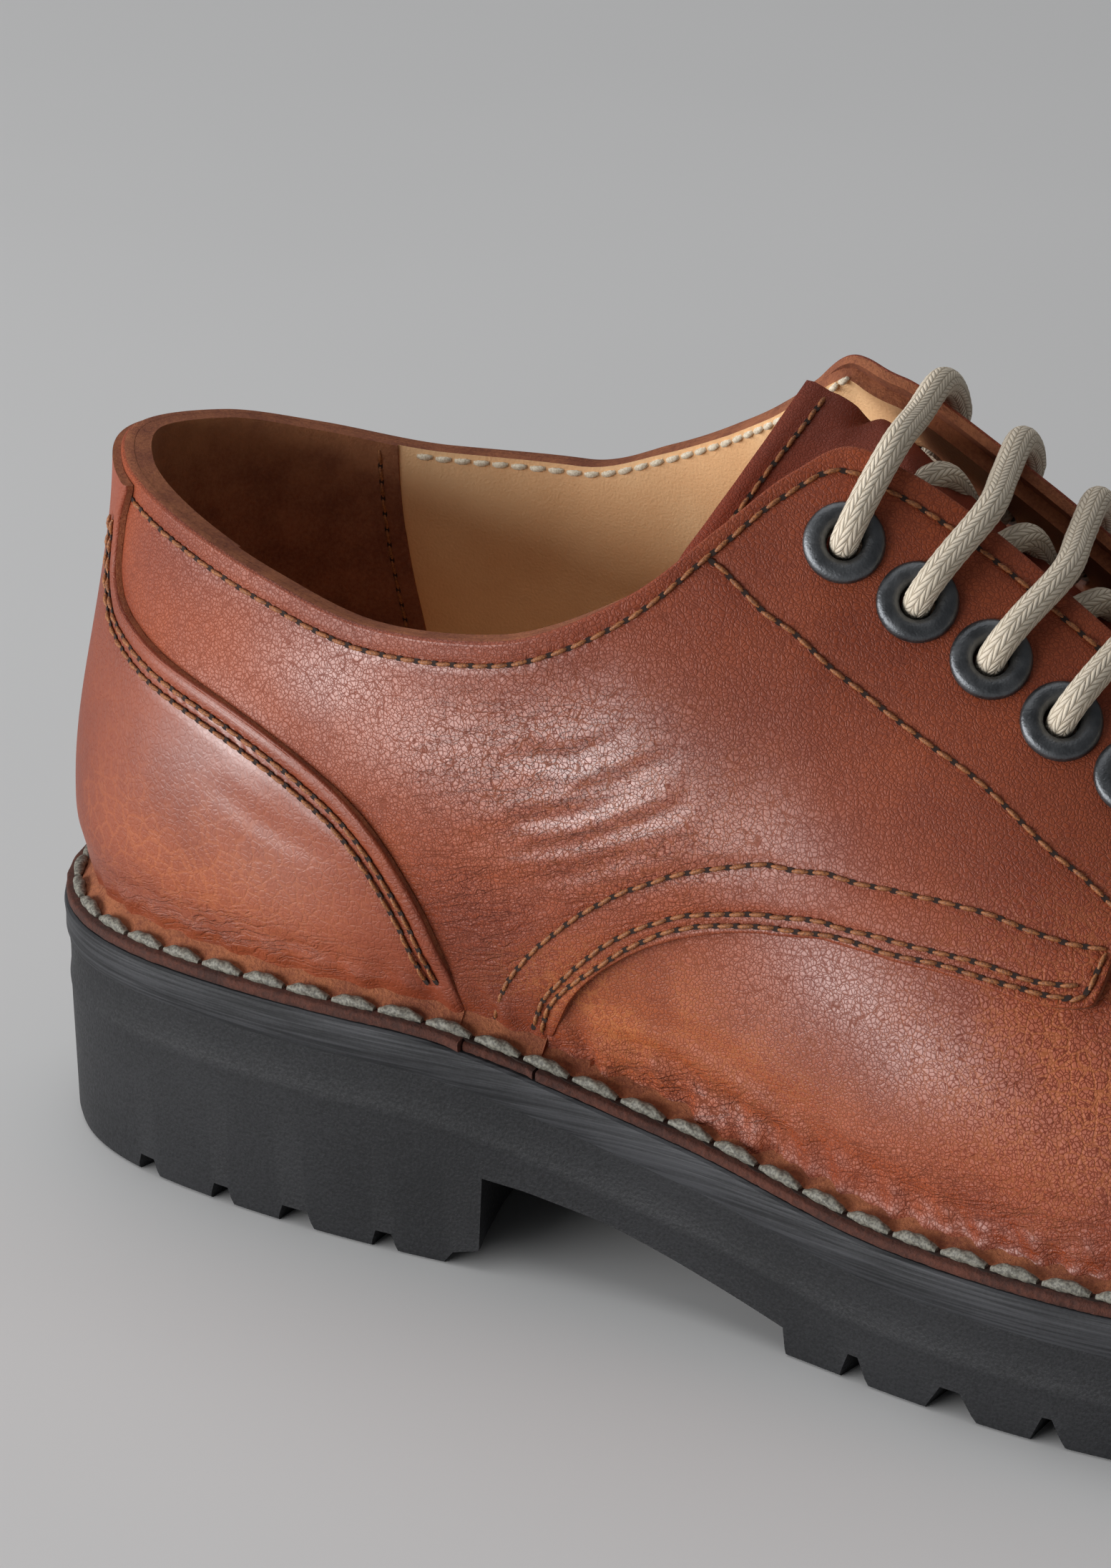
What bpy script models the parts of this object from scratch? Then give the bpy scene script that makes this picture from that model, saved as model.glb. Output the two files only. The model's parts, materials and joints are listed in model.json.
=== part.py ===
"""Postman shoe for the right foot: stitched-down derby with a lugged rubber sole and bar lacing.

Sizes are in millimetres from the back of the heel: x towards the toe, y towards the inner (medial)
side, z up from the floor. The finished objects are in metres about the middle of the sole.
"""

import math

import bmesh
import bpy
import numpy as np
from mathutils import Matrix, Vector

# Sole outline seen from above, once round from the back of the heel by the outer side.
# Columns: name, x, y.
SOLE_OUTLINE = (
    ("heel_back", 0.0, 0.0),
    ("heel_back_lateral", 10.0, -22.2),
    ("heel_lateral", 34.0, -33.0),
    ("breast_lateral", 71.0, -37.4),
    ("waist_lateral", 105.0, -38.8),
    ("joint_lateral", 140.0, -47.2),
    ("ball_lateral", 170.0, -51.0),
    ("little_toe", 207.0, -46.8),
    ("toe_lateral", 243.0, -32.0),
    ("toe_front_lateral", 260.5, -15.5),
    ("toe_tip", 268.0, 5.0),
    ("toe_front_medial", 262.5, 24.0),
    ("toe_medial", 247.0, 37.5),
    ("big_toe", 221.0, 46.6),
    ("ball_medial", 190.0, 49.0),
    ("joint_medial", 157.0, 42.0),
    ("waist_medial", 117.0, 32.5),
    ("breast_medial", 74.0, 33.2),
    ("heel_medial", 34.0, 32.6),
    ("heel_back_medial", 10.0, 22.0),
)

# Height of the rubber along the foot. Columns: x, top of the midsole, tread plane.
SOLE_HEIGHTS = (
    (0.0, 31.8, 0.0),
    (64.0, 31.8, 0.0),
    (105.0, 24.6, 0.0),
    (138.0, 19.8, 0.0),
    (168.0, 19.2, 0.0),
    (188.0, 19.6, 0.0),
    (205.0, 20.6, 1.0),
    (235.0, 24.4, 4.6),
    (268.0, 30.0, 10.0),
)

# Columns of the upper from the feather line to its top line. Columns: name, x on the sole outline,
# top x, top y, top z, tangent length and outward lean at the feather, tangent length and
# slope below the horizontal at the top.
UPPER_LATERAL = (
    ("heel_back", 0, 12.3, 0.0, 94.3, 24, 7, 26, 86),
    ("heel_round", 13, 17.6, -11.5, 93.6, 24, 8, 26, 87),
    ("heel_side", 28, 28.0, -19.4, 91.0, 26.2, 9.3, 23.2, 83.4),
    ("counter", 48, 44.0, -25.2, 86.8, 24.2, 13, 16.3, 79.3),
    ("collar_low", 68, 62.0, -29.6, 83.8, 26.8, 12.2, 20.6, 81),
    ("collar_mid", 84, 80.0, -32.0, 85.6, 31.1, 12.9, 22.2, 87.8),
    ("collar_rise", 98, 95.8, -27.6, 91.9, 28.5, 13.4, 19.6, 74),
    ("collar_front", 108, 105.4, -21.5, 99.8, 27.2, 13.2, 19.4, 61.2),
    ("corner_rear", 114, 112.4, -15.5, 105.7, 27.2, 12.9, 21.1, 52.5),
    ("corner", 119, 118.4, -11.3, 108.5, 26.8, 13.4, 21.4, 47.7),
    ("facing_top", 125, 125.3, -9.7, 105.7, 27.4, 12.6, 22.2, 47.7),
    ("facing_mid", 140, 139.4, -7.3, 95.8, 18.7, 12.2, 24.9, 33.1),
    ("facing_low", 154, 155.0, -7.6, 84.6, 14.5, 12.7, 29.6, 32),
    ("throat", 162, 164.0, -6.0, 78.2, 16.1, 11.3, 26.7, 23),
    ("vamp_point", 170, 171.0, 0.0, 74.0, 16.1, 13.4, 25.2, 1.3),
    ("vamp_mid", 190, 192.0, 0.0, 66.2, 16, 18, 24, 8),
    ("toe_rise", 215, 213.0, 0.6, 62.0, 15, 16, 22, 5),
    ("toe_top", 238, 231.0, 2.4, 59.6, 14, 14, 16, 5),
    ("toe_round", 257, 242.0, 4.0, 56.4, 14, 12, 14, 10),
    ("toe_tip", 268, 247.0, 4.8, 54.0, 14, 12, 13, 16),
)
UPPER_MEDIAL = (
    ("heel_back", 0, 12.3, 0.0, 94.3, 24, 7, 26, 86),
    ("heel_round", 13, 17.6, 11.5, 93.0, 24, 8, 26, 87),
    ("heel_side", 28, 28.0, 19.4, 90.0, 24, 9, 24, 88),
    ("counter", 48, 44.0, 25.4, 86.8, 24, 8, 22, 90),
    ("collar_low", 68, 62.0, 28.8, 86.2, 24, 8, 22, 88),
    ("collar_mid", 84, 75.0, 28.2, 90.0, 24, 9, 22, 80),
    ("collar_rise", 96, 86.0, 25.0, 95.2, 24, 10, 24, 70),
    ("collar_front", 104, 95.0, 19.8, 100.8, 24, 11, 26, 60),
    ("corner_rear", 109, 102.3, 14.3, 106.4, 24, 12, 28, 52),
    ("corner", 113, 109.8, 10.0, 111.6, 24, 12, 30, 46),
    ("facing_top", 119, 116.5, 7.8, 110.2, 24, 13, 30, 42),
    ("facing_mid", 138, 136.0, 7.8, 98.6, 22, 14, 28, 38),
    ("facing_low", 154, 155.0, 7.6, 85.0, 20, 15, 26, 34),
    ("throat", 162, 164.0, 6.0, 78.4, 19, 16, 26, 28),
    ("vamp_point", 170, 171.0, 0.0, 74.0, 18, 16, 26, 12),
    ("vamp_mid", 190, 192.0, 0.0, 66.2, 16, 16, 24, 8),
    ("toe_rise", 215, 213.0, 0.6, 62.0, 15, 15, 22, 5),
    ("toe_top", 238, 231.0, 2.4, 59.6, 14, 14, 16, 5),
    ("toe_round", 257, 242.0, 4.0, 56.4, 14, 12, 14, 10),
    ("toe_tip", 268, 247.0, 4.8, 54.0, 14, 12, 13, 16),
)
VAMP_POINT = 14
TOE_TIP = 19
LATERAL, MEDIAL = -1, 1

# Wall of the upper and the panels laid over it.
GAP = 0.3
WALL = 1.8
FLANGE_WIDTH = 6.0
FLANGE_SET_BACK = 0.5
PANEL = 1.3
PANEL_GAP = 0.4
COUNTER_GAP = 0.6
UPPER_HEIGHTS = (0.0, 0.13, 0.31, 0.50, 0.69, 0.86, 1.0)

# Front edge of the heel counter. Columns: height on the wall (0 feather, 1 top), station.
COUNTER_EDGE = (
    (0.012, 4.37),
    (0.082, 4.32),
    (0.199, 4.22),
    (0.317, 4.08),
    (0.430, 3.92),
    (0.516, 3.71),
    (0.566, 3.43),
    (0.611, 2.93),
    (0.667, 2.31),
    (0.713, 1.69),
    (0.752, 1.25),
    (0.809, 1.06),
    (0.890, 1.13),
    (0.978, 1.37),
)

# Lower and front edge of a quarter. Columns: station, height on the wall.
QUARTER_EDGE = (
    (0.25, 0.012),
    (5.10, 0.012),
    (5.16, 0.022),
    (5.24, 0.050),
    (5.42, 0.118),
    (5.63, 0.177),
    (5.89, 0.228),
    (6.16, 0.264),
    (6.45, 0.289),
    (6.89, 0.308),
    (7.54, 0.317),
    (9.03, 0.327),
    (9.73, 0.339),
    (10.18, 0.355),
    (10.69, 0.390),
    (11.19, 0.427),
    (11.67, 0.463),
    (12.27, 0.488),
    (12.52, 0.492),
    (12.72, 0.498),
    (12.82, 0.530),
    (12.88, 0.600),
    (12.98, 0.700),
    (13.11, 0.800),
    (13.30, 0.930),
)

# Eyelets. Columns: number, station and height on the outer side, station and height on the inner.
EYELETS = (
    (1, 9.48, 0.843, 10.20, 0.855),
    (2, 10.47, 0.828, 10.68, 0.850),
    (3, 11.09, 0.833, 11.16, 0.845),
    (4, 11.64, 0.841, 11.66, 0.835),
    (5, 12.40, 0.842, 12.38, 0.831),
)
EYELET_HOLE = 2.2
EYELET_BARREL = 2.85
EYELET_RADIUS = 5.05
EYELET_RISE = 1.5
EYELET_DEPTH = 2.9
LEATHER_HOLE = 3.4
LACE_RADIUS = 1.8
# Lace coming up out of an eyelet. Columns: height over the leather, shift towards the throat.
LACE_BEND = ((-2.4, 0.0), (0.0, 0.0), (1.8, 0.05), (3.2, 0.6), (4.2, 2.0), (4.5, 4.4))
# Middle of the lace over the edges of the outer and inner facing.
LACE_REST = (4.0, 2.9)

# Tongue under the facings. Columns: station, height where the outer edge ends, the same on the inner side.
TONGUE_SECTIONS = (
    (13.2, 0.70, 0.78),
    (12.4, 0.66, 0.80),
    (11.6, 0.64, 0.82),
    (10.8, 0.64, 0.86),
    (10.0, 0.66, 0.90),
)
# Two more sections behind the facings, the second its free end, from the outer edge inside the
# collar to the inner corner. Columns: x, y, z.
TONGUE_NECK = (
    (106.0, -23.8, 86.8),
    (108.5, -18.3, 96.4),
    (110.5, -12.9, 101.2),
    (112.0, -6.6, 104.9),
    (112.7, -1.0, 107.0),
    (112.9, 4.5, 107.8),
)
TONGUE_END = (
    (97.5, -25.6, 86.0),
    (100.0, -22.6, 94.8),
    (102.6, -18.5, 99.9),
    (104.6, -13.0, 104.3),
    (105.7, -5.5, 108.1),
    (106.0, 4.0, 111.3),
)
TONGUE_THICKNESS = 1.6
TONGUE_CLEARANCE = 0.9

# Rubber.
MIDSOLE = 5.0
SIDE_RECESS = 0.7
SIDE_RIB = 6.0
INSOLE = 2.5
INSOLE_CLEARANCE = 1.0
TREAD_DEPTH = 3.8
HEEL_TREAD_DEPTH = 2.6
LUG_LENGTH = 13.0

# Arch under the waist, from the heel breast to the first forefoot lug. Columns: x, z.
ARCH = (
    (72.0, -3.0),
    (72.0, 0.3),
    (73.4, 2.0),
    (77.2, 3.0),
    (78.0, 13.5),
    (84.0, 12.9),
    (96.0, 10.8),
    (110.0, 7.0),
    (122.0, 4.0),
    (122.6, -3.0),
)
# The heel breast is hollow seen from above: its depth in the middle, half its width, its rows of the arch.
BREAST_HOLLOW = 5.5
BREAST_HALF = 37.0
BREAST_ROWS = 5

# Notches in the edge of the tread. Columns: x at the middle, width at the floor, width at the top.
HEEL_NOTCHES = ((23.9, 4.4, 2.6), (37.1, 4.2, 2.4), (49.3, 6.0, 4.0), (63.1, 4.2, 2.4))
FOREFOOT_NOTCHES = (
    (132.6, 4.7, 1.5),
    (146.8, 7.8, 2.8),
    (160.2, 5.0, 1.3),
    (174.4, 7.8, 2.8),
    (188.4, 5.0, 1.3),
    (202.8, 7.8, 2.8),
    (216.6, 5.0, 1.3),
    (231.0, 7.0, 2.6),
    (246.0, 4.6, 1.4),
)
CROSS_CHANNELS = ((146.8, 6.0), (174.4, 6.0), (202.8, 6.0), (227.0, 5.0))
SOLE_STATIONS = 38


def smooth(knots, values, at):
    """Cubic through the rows that never overshoots them."""
    knots = np.asarray(knots, float)
    values = np.asarray(values, float)
    flat = values.ndim == 1
    if flat:
        values = values[:, None]
    step = np.diff(knots)[:, None]
    rate = np.diff(values, axis=0) / step
    slope = np.zeros_like(values)
    before = 2 * step[1:] + step[:-1]
    after = step[1:] + 2 * step[:-1]
    same = rate[:-1] * rate[1:] > 0
    rate0 = np.where(same, rate[:-1], 1)
    rate1 = np.where(same, rate[1:], 1)
    slope[1:-1] = np.where(same, (before + after) / (before / rate0 + after / rate1), 0)
    slope[0] = rate[0]
    slope[-1] = rate[-1]
    at = np.asarray(at, float)
    i = np.clip(np.searchsorted(knots, at, side="right") - 1, 0, len(knots) - 2)
    t = np.clip((at - knots[i]) / step[i, 0], 0, 1)[..., None]
    found = (1 + 2 * t) * (1 - t) ** 2 * values[i] + t * (1 - t) ** 2 * step[i] * slope[i]
    found = found + t * t * (3 - 2 * t) * values[i + 1] + t * t * (t - 1) * step[i] * slope[i + 1]
    return found[..., 0] if flat else found


def closed_curve(points, count=1440):
    """Smooth closed curve through the points, as count points."""
    points = np.asarray(points, float)
    n = len(points)
    chord = np.linalg.norm(np.roll(points, -1, 0) - points, axis=1)
    knots = np.r_[0, np.cumsum(chord)]
    matrix = np.zeros((n, n))
    right = np.zeros((n, 2))
    for i in range(n):
        last, this, following = chord[i - 1], chord[i], (i + 1) % n
        matrix[i, i - 1] += 1 / last
        matrix[i, i] += 2 / last + 2 / this
        matrix[i, following] += 1 / this
        right[i] = 3 * (points[i] - points[i - 1]) / last**2
        right[i] += 3 * (points[following] - points[i]) / this**2
    slope = np.linalg.solve(matrix, right)
    s = np.linspace(0, knots[-1], count, endpoint=False)
    i = np.clip(np.searchsorted(knots, s, side="right") - 1, 0, n - 1)
    j = (i + 1) % n
    h = chord[i][:, None]
    t = (s - knots[i])[:, None] / h
    curve = (1 + 2 * t) * (1 - t) ** 2 * points[i] + t * (1 - t) ** 2 * h * slope[i]
    return curve + t * t * (3 - 2 * t) * points[j] + t * t * (t - 1) * h * slope[j]


LOOP = closed_curve([row[1:] for row in SOLE_OUTLINE])
CENTRE = (LOOP.min(0) + LOOP.max(0)) / 2


def half_outline(side):
    """Points, outward normals and lengths along one side of the outline, heel to toe."""
    count = len(LOOP)
    along = np.roll(LOOP, -1, 0) - np.roll(LOOP, 1, 0)
    normals = np.stack([along[:, 1], -along[:, 0]], 1)
    normals /= np.linalg.norm(normals, axis=1)[:, None]
    if ((LOOP - LOOP.mean(0)) * normals).sum() < 0:
        normals = -normals
    back = int(np.argmin(LOOP[:, 0]))
    front = int(np.argmax(LOOP[:, 0]))
    if side == LATERAL:
        index = (back + np.arange((front - back) % count + 1)) % count
    else:
        index = (back - np.arange((back - front) % count + 1)) % count
    points = LOOP[index]
    lengths = np.r_[0, np.cumsum(np.linalg.norm(np.diff(points, axis=0), axis=1))]
    return points, normals[index], lengths


OUTLINES = {side: half_outline(side) for side in (LATERAL, MEDIAL)}


def outline_at(side, lengths):
    """Outline point and outward normal at lengths along one side."""
    points, normals, marks = OUTLINES[side]
    point = np.stack([np.interp(lengths, marks, points[:, k]) for k in (0, 1)], -1)
    normal = np.stack([np.interp(lengths, marks, normals[:, k]) for k in (0, 1)], -1)
    return point, normal / np.linalg.norm(normal, axis=-1, keepdims=True)


def outline_at_x(side, x):
    points, normals, marks = OUTLINES[side]
    return outline_at(side, np.interp(x, points[:, 0], marks))


def sole_top(x):
    return smooth([row[0] for row in SOLE_HEIGHTS], [row[1] for row in SOLE_HEIGHTS], x)


def tread(x):
    return smooth([row[0] for row in SOLE_HEIGHTS], [row[2] for row in SOLE_HEIGHTS], x)


def in_space(plan, z):
    return np.concatenate([plan, np.broadcast_to(z, plan.shape[:-1])[..., None]], -1)


def tops(rows):
    """Top of each column, with the second one mirrored behind the heel so that its back is round."""
    return [(rows[1][2], -rows[1][3], rows[1][4])] + [row[2:5] for row in rows]


def wall_curve(side, station):
    """Outline point, its normal and the four control points of the wall at each station."""
    rows = UPPER_LATERAL if side == LATERAL else UPPER_MEDIAL
    station = np.asarray(station, float)
    points, normals, marks = OUTLINES[side]
    lengths = np.interp([row[1] for row in rows], points[:, 0], marks)
    lengths[0] = 0
    lengths[-1] = marks[-1]
    order = np.arange(-1, len(rows))
    edge, normal = outline_at(side, smooth(order, np.r_[-lengths[1], lengths], station))
    top = smooth(order, tops(rows), station)
    ridge = smooth(order, tops(UPPER_LATERAL), station)
    top = np.where((station >= VAMP_POINT)[..., None], ridge, top)
    bends = smooth(order, [rows[1][5:9]] + [row[5:9] for row in rows], station)
    rise, reach = bends[..., 0:1], bends[..., 2:3]
    lean, slope = np.radians(bends[..., 1:2]), np.radians(bends[..., 3:4])
    up = np.array([0.0, 0.0, 1.0])
    out = in_space(normal, 0.0)
    foot = in_space(edge - normal * FLANGE_WIDTH, sole_top(edge[..., 0]) + GAP + WALL)
    low = foot + rise * (np.cos(lean) * up + np.sin(lean) * out)
    high = top + reach * (np.cos(slope) * out - np.sin(slope) * up)
    return edge, normal, foot, low, high, top


def wall(side, station, height):
    """Outer face of the upper: height runs from 0 at the feather to 1 at the top line."""
    station, height = np.broadcast_arrays(np.asarray(station, float), np.asarray(height, float))
    edge, normal, foot, low, high, top = wall_curve(side, station)
    t = height[..., None]
    return foot * (1 - t) ** 3 + 3 * low * t * (1 - t) ** 2 + 3 * high * t * t * (1 - t) + top * t**3


def wall_normal(side, station, height):
    station, height = np.broadcast_arrays(np.asarray(station, float), np.asarray(height, float))
    small = 0.001
    ahead = wall(side, np.clip(station + small, 0, TOE_TIP), height)
    behind = wall(side, np.clip(station - small, 0, TOE_TIP), height)
    above = wall(side, station, np.clip(height + small, 0, 1))
    below = wall(side, station, np.clip(height - small, 0, 1))
    normal = -side * np.cross(ahead - behind, above - below)
    return normal / np.linalg.norm(normal, axis=-1, keepdims=True)


def over_wall(side, station, height, distance):
    return wall(side, station, height) + wall_normal(side, station, height) * distance


def even_points(line, count):
    """Even points along a smooth line through the given ones."""
    marks = np.r_[0, np.cumsum(np.linalg.norm(np.diff(line, axis=0), axis=1))]
    return smooth(marks, line, np.linspace(0, marks[-1], count))


def tongue_rows(count, depths):
    """Sections of the tongue from the throat to its free end. Depths lie under the wall."""
    rows = []
    for (station, outer, inner), depth in zip(TONGUE_SECTIONS, depths):
        halves = []
        for side, lowest in ((LATERAL, outer), (MEDIAL, inner)):
            heights = np.linspace(lowest, 0.999, 8)
            halves.append(over_wall(side, np.full(8, station), heights, -depth))
        rows.append(even_points(np.concatenate([halves[0], halves[1][::-1]]), count))
    rows += [even_points(np.array(row), count) for row in (TONGUE_NECK, TONGUE_END)]
    return np.array(rows)


def arch_rings():
    """Space under the waist as rings across the foot."""
    profile = np.array(ARCH)
    rings = []
    for share in (-1.9, -1.0, -0.85, -0.65, -0.35, 0.0, 0.35, 0.65, 0.85, 1.0, 1.9):
        hollow = BREAST_HOLLOW * max(0.0, 1 - share * share)
        x = profile[:, 0] - np.where(np.arange(len(profile)) < BREAST_ROWS, hollow, 0)
        rings.append(np.stack([x, np.full(len(x), share * BREAST_HALF), profile[:, 1]], 1))
    return np.array(rings)


def clear_scene():
    for item in list(bpy.data.objects):
        bpy.data.objects.remove(item, do_unlink=True)


def new_material(name, colour, roughness, metallic=0.0):
    material = bpy.data.materials.new(name)
    material.use_nodes = True
    shader = material.node_tree.nodes["Principled BSDF"]
    shader.inputs["Base Color"].default_value = (*colour, 1.0)
    shader.inputs["Roughness"].default_value = roughness
    shader.inputs["Metallic"].default_value = metallic
    return material


def to_metres(points):
    points = np.asarray(points, float).reshape(-1, 3)
    return (points - np.array([CENTRE[0], CENTRE[1], 0.0])) * 0.001


def add_mesh(name, points, faces, collection, material=None):
    """Mesh object from millimetre points, its doubled points merged and its faces turned outward."""
    mesh = bpy.data.meshes.new(name)
    mesh.from_pydata(to_metres(points).tolist(), [], faces)
    shape = bmesh.new()
    shape.from_mesh(mesh)
    bmesh.ops.remove_doubles(shape, verts=shape.verts, dist=0.000002)
    bmesh.ops.dissolve_degenerate(shape, edges=shape.edges, dist=0.000002)
    bmesh.ops.recalc_face_normals(shape, faces=shape.faces)
    shape.to_mesh(mesh)
    shape.free()
    obj = bpy.data.objects.new(name, mesh)
    collection.objects.link(obj)
    if material:
        mesh.materials.append(material)
        mesh.polygons.foreach_set("use_smooth", [True] * len(mesh.polygons))
    return obj


def sheet_faces(rows, columns):
    """Quads of a grid of points stored row after row."""
    return [
        (r * columns + c, r * columns + c + 1, (r + 1) * columns + c + 1, (r + 1) * columns + c)
        for r in range(rows - 1)
        for c in range(columns - 1)
    ]


def thicken(obj, thickness, offset):
    solid = obj.modifiers.new("thickness", "SOLIDIFY")
    solid.thickness = thickness * 0.001
    solid.offset = offset
    solid.use_even_offset = True
    solid.use_rim = True
    return solid


def cut_with(obj, cutters):
    cut = obj.modifiers.new("holes", "BOOLEAN")
    cut.operation = "DIFFERENCE"
    cut.solver = "EXACT"
    cut.operand_type = "COLLECTION"
    cut.collection = cutters
    return cut


def faces_out(obj, direction):
    """Turns an open sheet so that its faces look along the given direction on the whole."""
    total = sum((face.normal * face.area for face in obj.data.polygons), Vector())
    if total.dot(Vector(direction)) < 0:
        obj.data.flip_normals()


def make_upper(shoe, leather):
    stations = np.r_[np.arange(0, 2, 0.25), np.arange(2, TOE_TIP + 0.01, 0.5)]
    heights = np.array(UPPER_HEIGHTS)
    columns = []
    for side, order in ((LATERAL, stations), (MEDIAL, stations[::-1])):
        for station in order:
            edge, normal, foot, *rest = wall_curve(side, np.array([station]))
            rim = in_space(edge - normal * FLANGE_SET_BACK, foot[..., 2])
            face = wall(side, np.full(len(heights), station), heights)
            columns.append(np.concatenate([rim, face]))
    points = np.array(columns)
    points = np.concatenate([points, points[:1]])
    upper = add_mesh("upper", points, sheet_faces(*points.shape[:2]), shoe, leather)
    ridge = max(upper.data.polygons, key=lambda face: face.normal.z if face.center.z > 0.06 else -1)
    lowest = min(upper.data.polygons, key=lambda face: face.normal.z if face.center.z > 0.06 else 1)
    if abs(lowest.normal.z) > abs(ridge.normal.z):
        upper.data.flip_normals()
    thicken(upper, WALL, -1)
    return upper


def make_quarter(name, side, shoe, leather):
    knots = [row[0] for row in QUARTER_EDGE]
    turns = [knot for knot in knots[1:] if not 6 < knot < 12.6]
    stations = np.r_[np.arange(0.25, 2, 0.25), np.arange(2, 5, 0.5), np.arange(6.5, 12.6, 0.5), turns]
    stations = np.unique(np.round(stations, 3))
    lowest = smooth(knots, [row[1] for row in QUARTER_EDGE], stations)
    share = np.array(UPPER_HEIGHTS)
    heights = lowest[:, None] + (1 - lowest[:, None]) * share
    points = over_wall(side, stations[:, None], heights, PANEL_GAP)
    quarter = add_mesh(name, points, sheet_faces(*points.shape[:2]), shoe, leather)
    faces_out(quarter, (0, side, 0))
    thicken(quarter, PANEL, 1)
    return quarter


def make_counter(shoe, leather):
    heights = np.array([row[0] for row in COUNTER_EDGE])
    edge = np.array([row[1] for row in COUNTER_EDGE])
    share = np.linspace(0, 1, 10) ** 1.25
    sides = []
    for side in (MEDIAL, LATERAL):
        points = over_wall(side, edge[:, None] * share, heights[:, None], PANEL_GAP + PANEL + COUNTER_GAP)
        sides.append(points[:, ::-1] if side == MEDIAL else points[:, 1:])
    points = np.concatenate(sides, axis=1)
    counter = add_mesh("heel_counter", points, sheet_faces(*points.shape[:2]), shoe, leather)
    faces_out(counter, (-1, 0, 0))
    thicken(counter, PANEL, 1)
    return counter


def make_tongue(shoe, leather):
    points = tongue_rows(16, [WALL + TONGUE_CLEARANCE] * len(TONGUE_SECTIONS))
    tongue = add_mesh("tongue", points, sheet_faces(*points.shape[:2]), shoe, leather)
    faces_out(tongue, (0, 0, 1))
    thicken(tongue, TONGUE_THICKNESS, -1)
    return tongue


def sole_body(name, rings, shoe, material):
    """Solid round the sole outline. Each ring gives its inset and a height for each x."""
    turn = np.linspace(0, math.pi, SOLE_STATIONS + 1)
    x = OUTLINES[LATERAL][0][-1, 0] * (1 - np.cos(turn)) / 2
    levels = []
    for inset, height in rings:
        halves = []
        for side in (LATERAL, MEDIAL):
            edge, normal = outline_at_x(side, x)
            halves.append(in_space(edge - normal * inset, height(edge[:, 0])))
        levels.append(np.concatenate([halves[0], halves[1][::-1]]))
    points = np.array(levels)
    count = points.shape[1]
    faces = []
    for level in range(len(levels) - 1):
        for c in range(count):
            d = (c + 1) % count
            first, second = level * count, (level + 1) * count
            faces.append((first + c, first + d, second + d, second + c))
    for first in (0, (len(levels) - 1) * count):
        for c in range(SOLE_STATIONS):
            faces.append((first + c, first + c + 1, first + count - 2 - c, first + count - 1 - c))
    return add_mesh(name, points, faces, shoe, material)


def make_soles(shoe, cutters, rubber, lining):
    inset = FLANGE_WIDTH + WALL + INSOLE_CLEARANCE
    sole_body(
        "insole",
        [
            (inset, lambda x: sole_top(x) + GAP),
            (inset, lambda x: sole_top(x) + GAP + INSOLE),
        ],
        shoe,
        lining,
    )
    sole_body(
        "midsole",
        [
            (0.7, lambda x: sole_top(x)),
            (0.0, lambda x: sole_top(x) - 0.7),
            (0.1, lambda x: sole_top(x) - MIDSOLE),
        ],
        shoe,
        rubber,
    )
    under = MIDSOLE + GAP
    outsole = sole_body(
        "outsole",
        [
            (SIDE_RECESS, lambda x: sole_top(x) - under),
            (SIDE_RECESS, lambda x: sole_top(x) - under - SIDE_RIB + 0.5),
            (0.1, lambda x: sole_top(x) - under - SIDE_RIB),
            (0.1, lambda x: sole_top(x) - under - SIDE_RIB - 0.4),
            (0.4, lambda x: sole_top(x) - under - SIDE_RIB - 0.8),
            (0.3, lambda x: tread(x) + 0.8),
            (1.0, tread),
        ],
        shoe,
        rubber,
    )
    prism("arch", arch_rings(), cutters)
    for number, (x, low, high) in enumerate(HEEL_NOTCHES):
        for side in (LATERAL, MEDIAL):
            make_notch(f"heel_notch_{number}_{side}", side, x, low, high, HEEL_TREAD_DEPTH, 9.0, cutters)
    for number, (x, low, high) in enumerate(FOREFOOT_NOTCHES):
        for side in (LATERAL, MEDIAL):
            make_notch(f"lug_notch_{number}_{side}", side, x, low, high, TREAD_DEPTH, LUG_LENGTH, cutters)
    for side in (LATERAL, MEDIAL):
        make_channel(f"long_channel_{side}", side, 121.0, 238.0, cutters)
    for number, (x, width) in enumerate(CROSS_CHANNELS):
        make_cross_channel(f"cross_channel_{number}", x, width, cutters)
    cut_with(outsole, cutters)


def prism(name, rings, cutters):
    """Closed block through two or more rings of equal length."""
    rings = np.asarray(rings)
    total, count = rings.shape[:2]
    last = (total - 1) * count
    faces = [tuple(range(count)), tuple(range(last, last + count))]
    for first in range(0, last, count):
        for c in range(count):
            d = (c + 1) % count
            faces.append((first + c, first + d, first + count + d, first + count + c))
    return add_mesh(name, rings.reshape(-1, 3), faces, cutters)


def make_notch(name, side, x, low, high, depth, length, cutters):
    edge, normal = outline_at_x(side, np.array([x]))
    along = in_space(np.stack([-normal[:, 1], normal[:, 0]], 1), 0.0)[0]
    out = in_space(normal, 0.0)[0]
    base = in_space(edge, tread(edge[:, 0]))[0]
    up = np.array([0.0, 0.0, 1.0])
    below = low / 2 + (low - high) / 2 * 2.0 / depth
    rings = []
    for reach in (3.0, -length):
        start = base + out * reach
        rings.append(
            np.array(
                [
                    start - along * below - up * 2.0,
                    start + along * below - up * 2.0,
                    start + along * high / 2 + up * depth,
                    start - along * high / 2 + up * depth,
                ]
            )
        )
    prism(name, rings, cutters)


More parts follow.
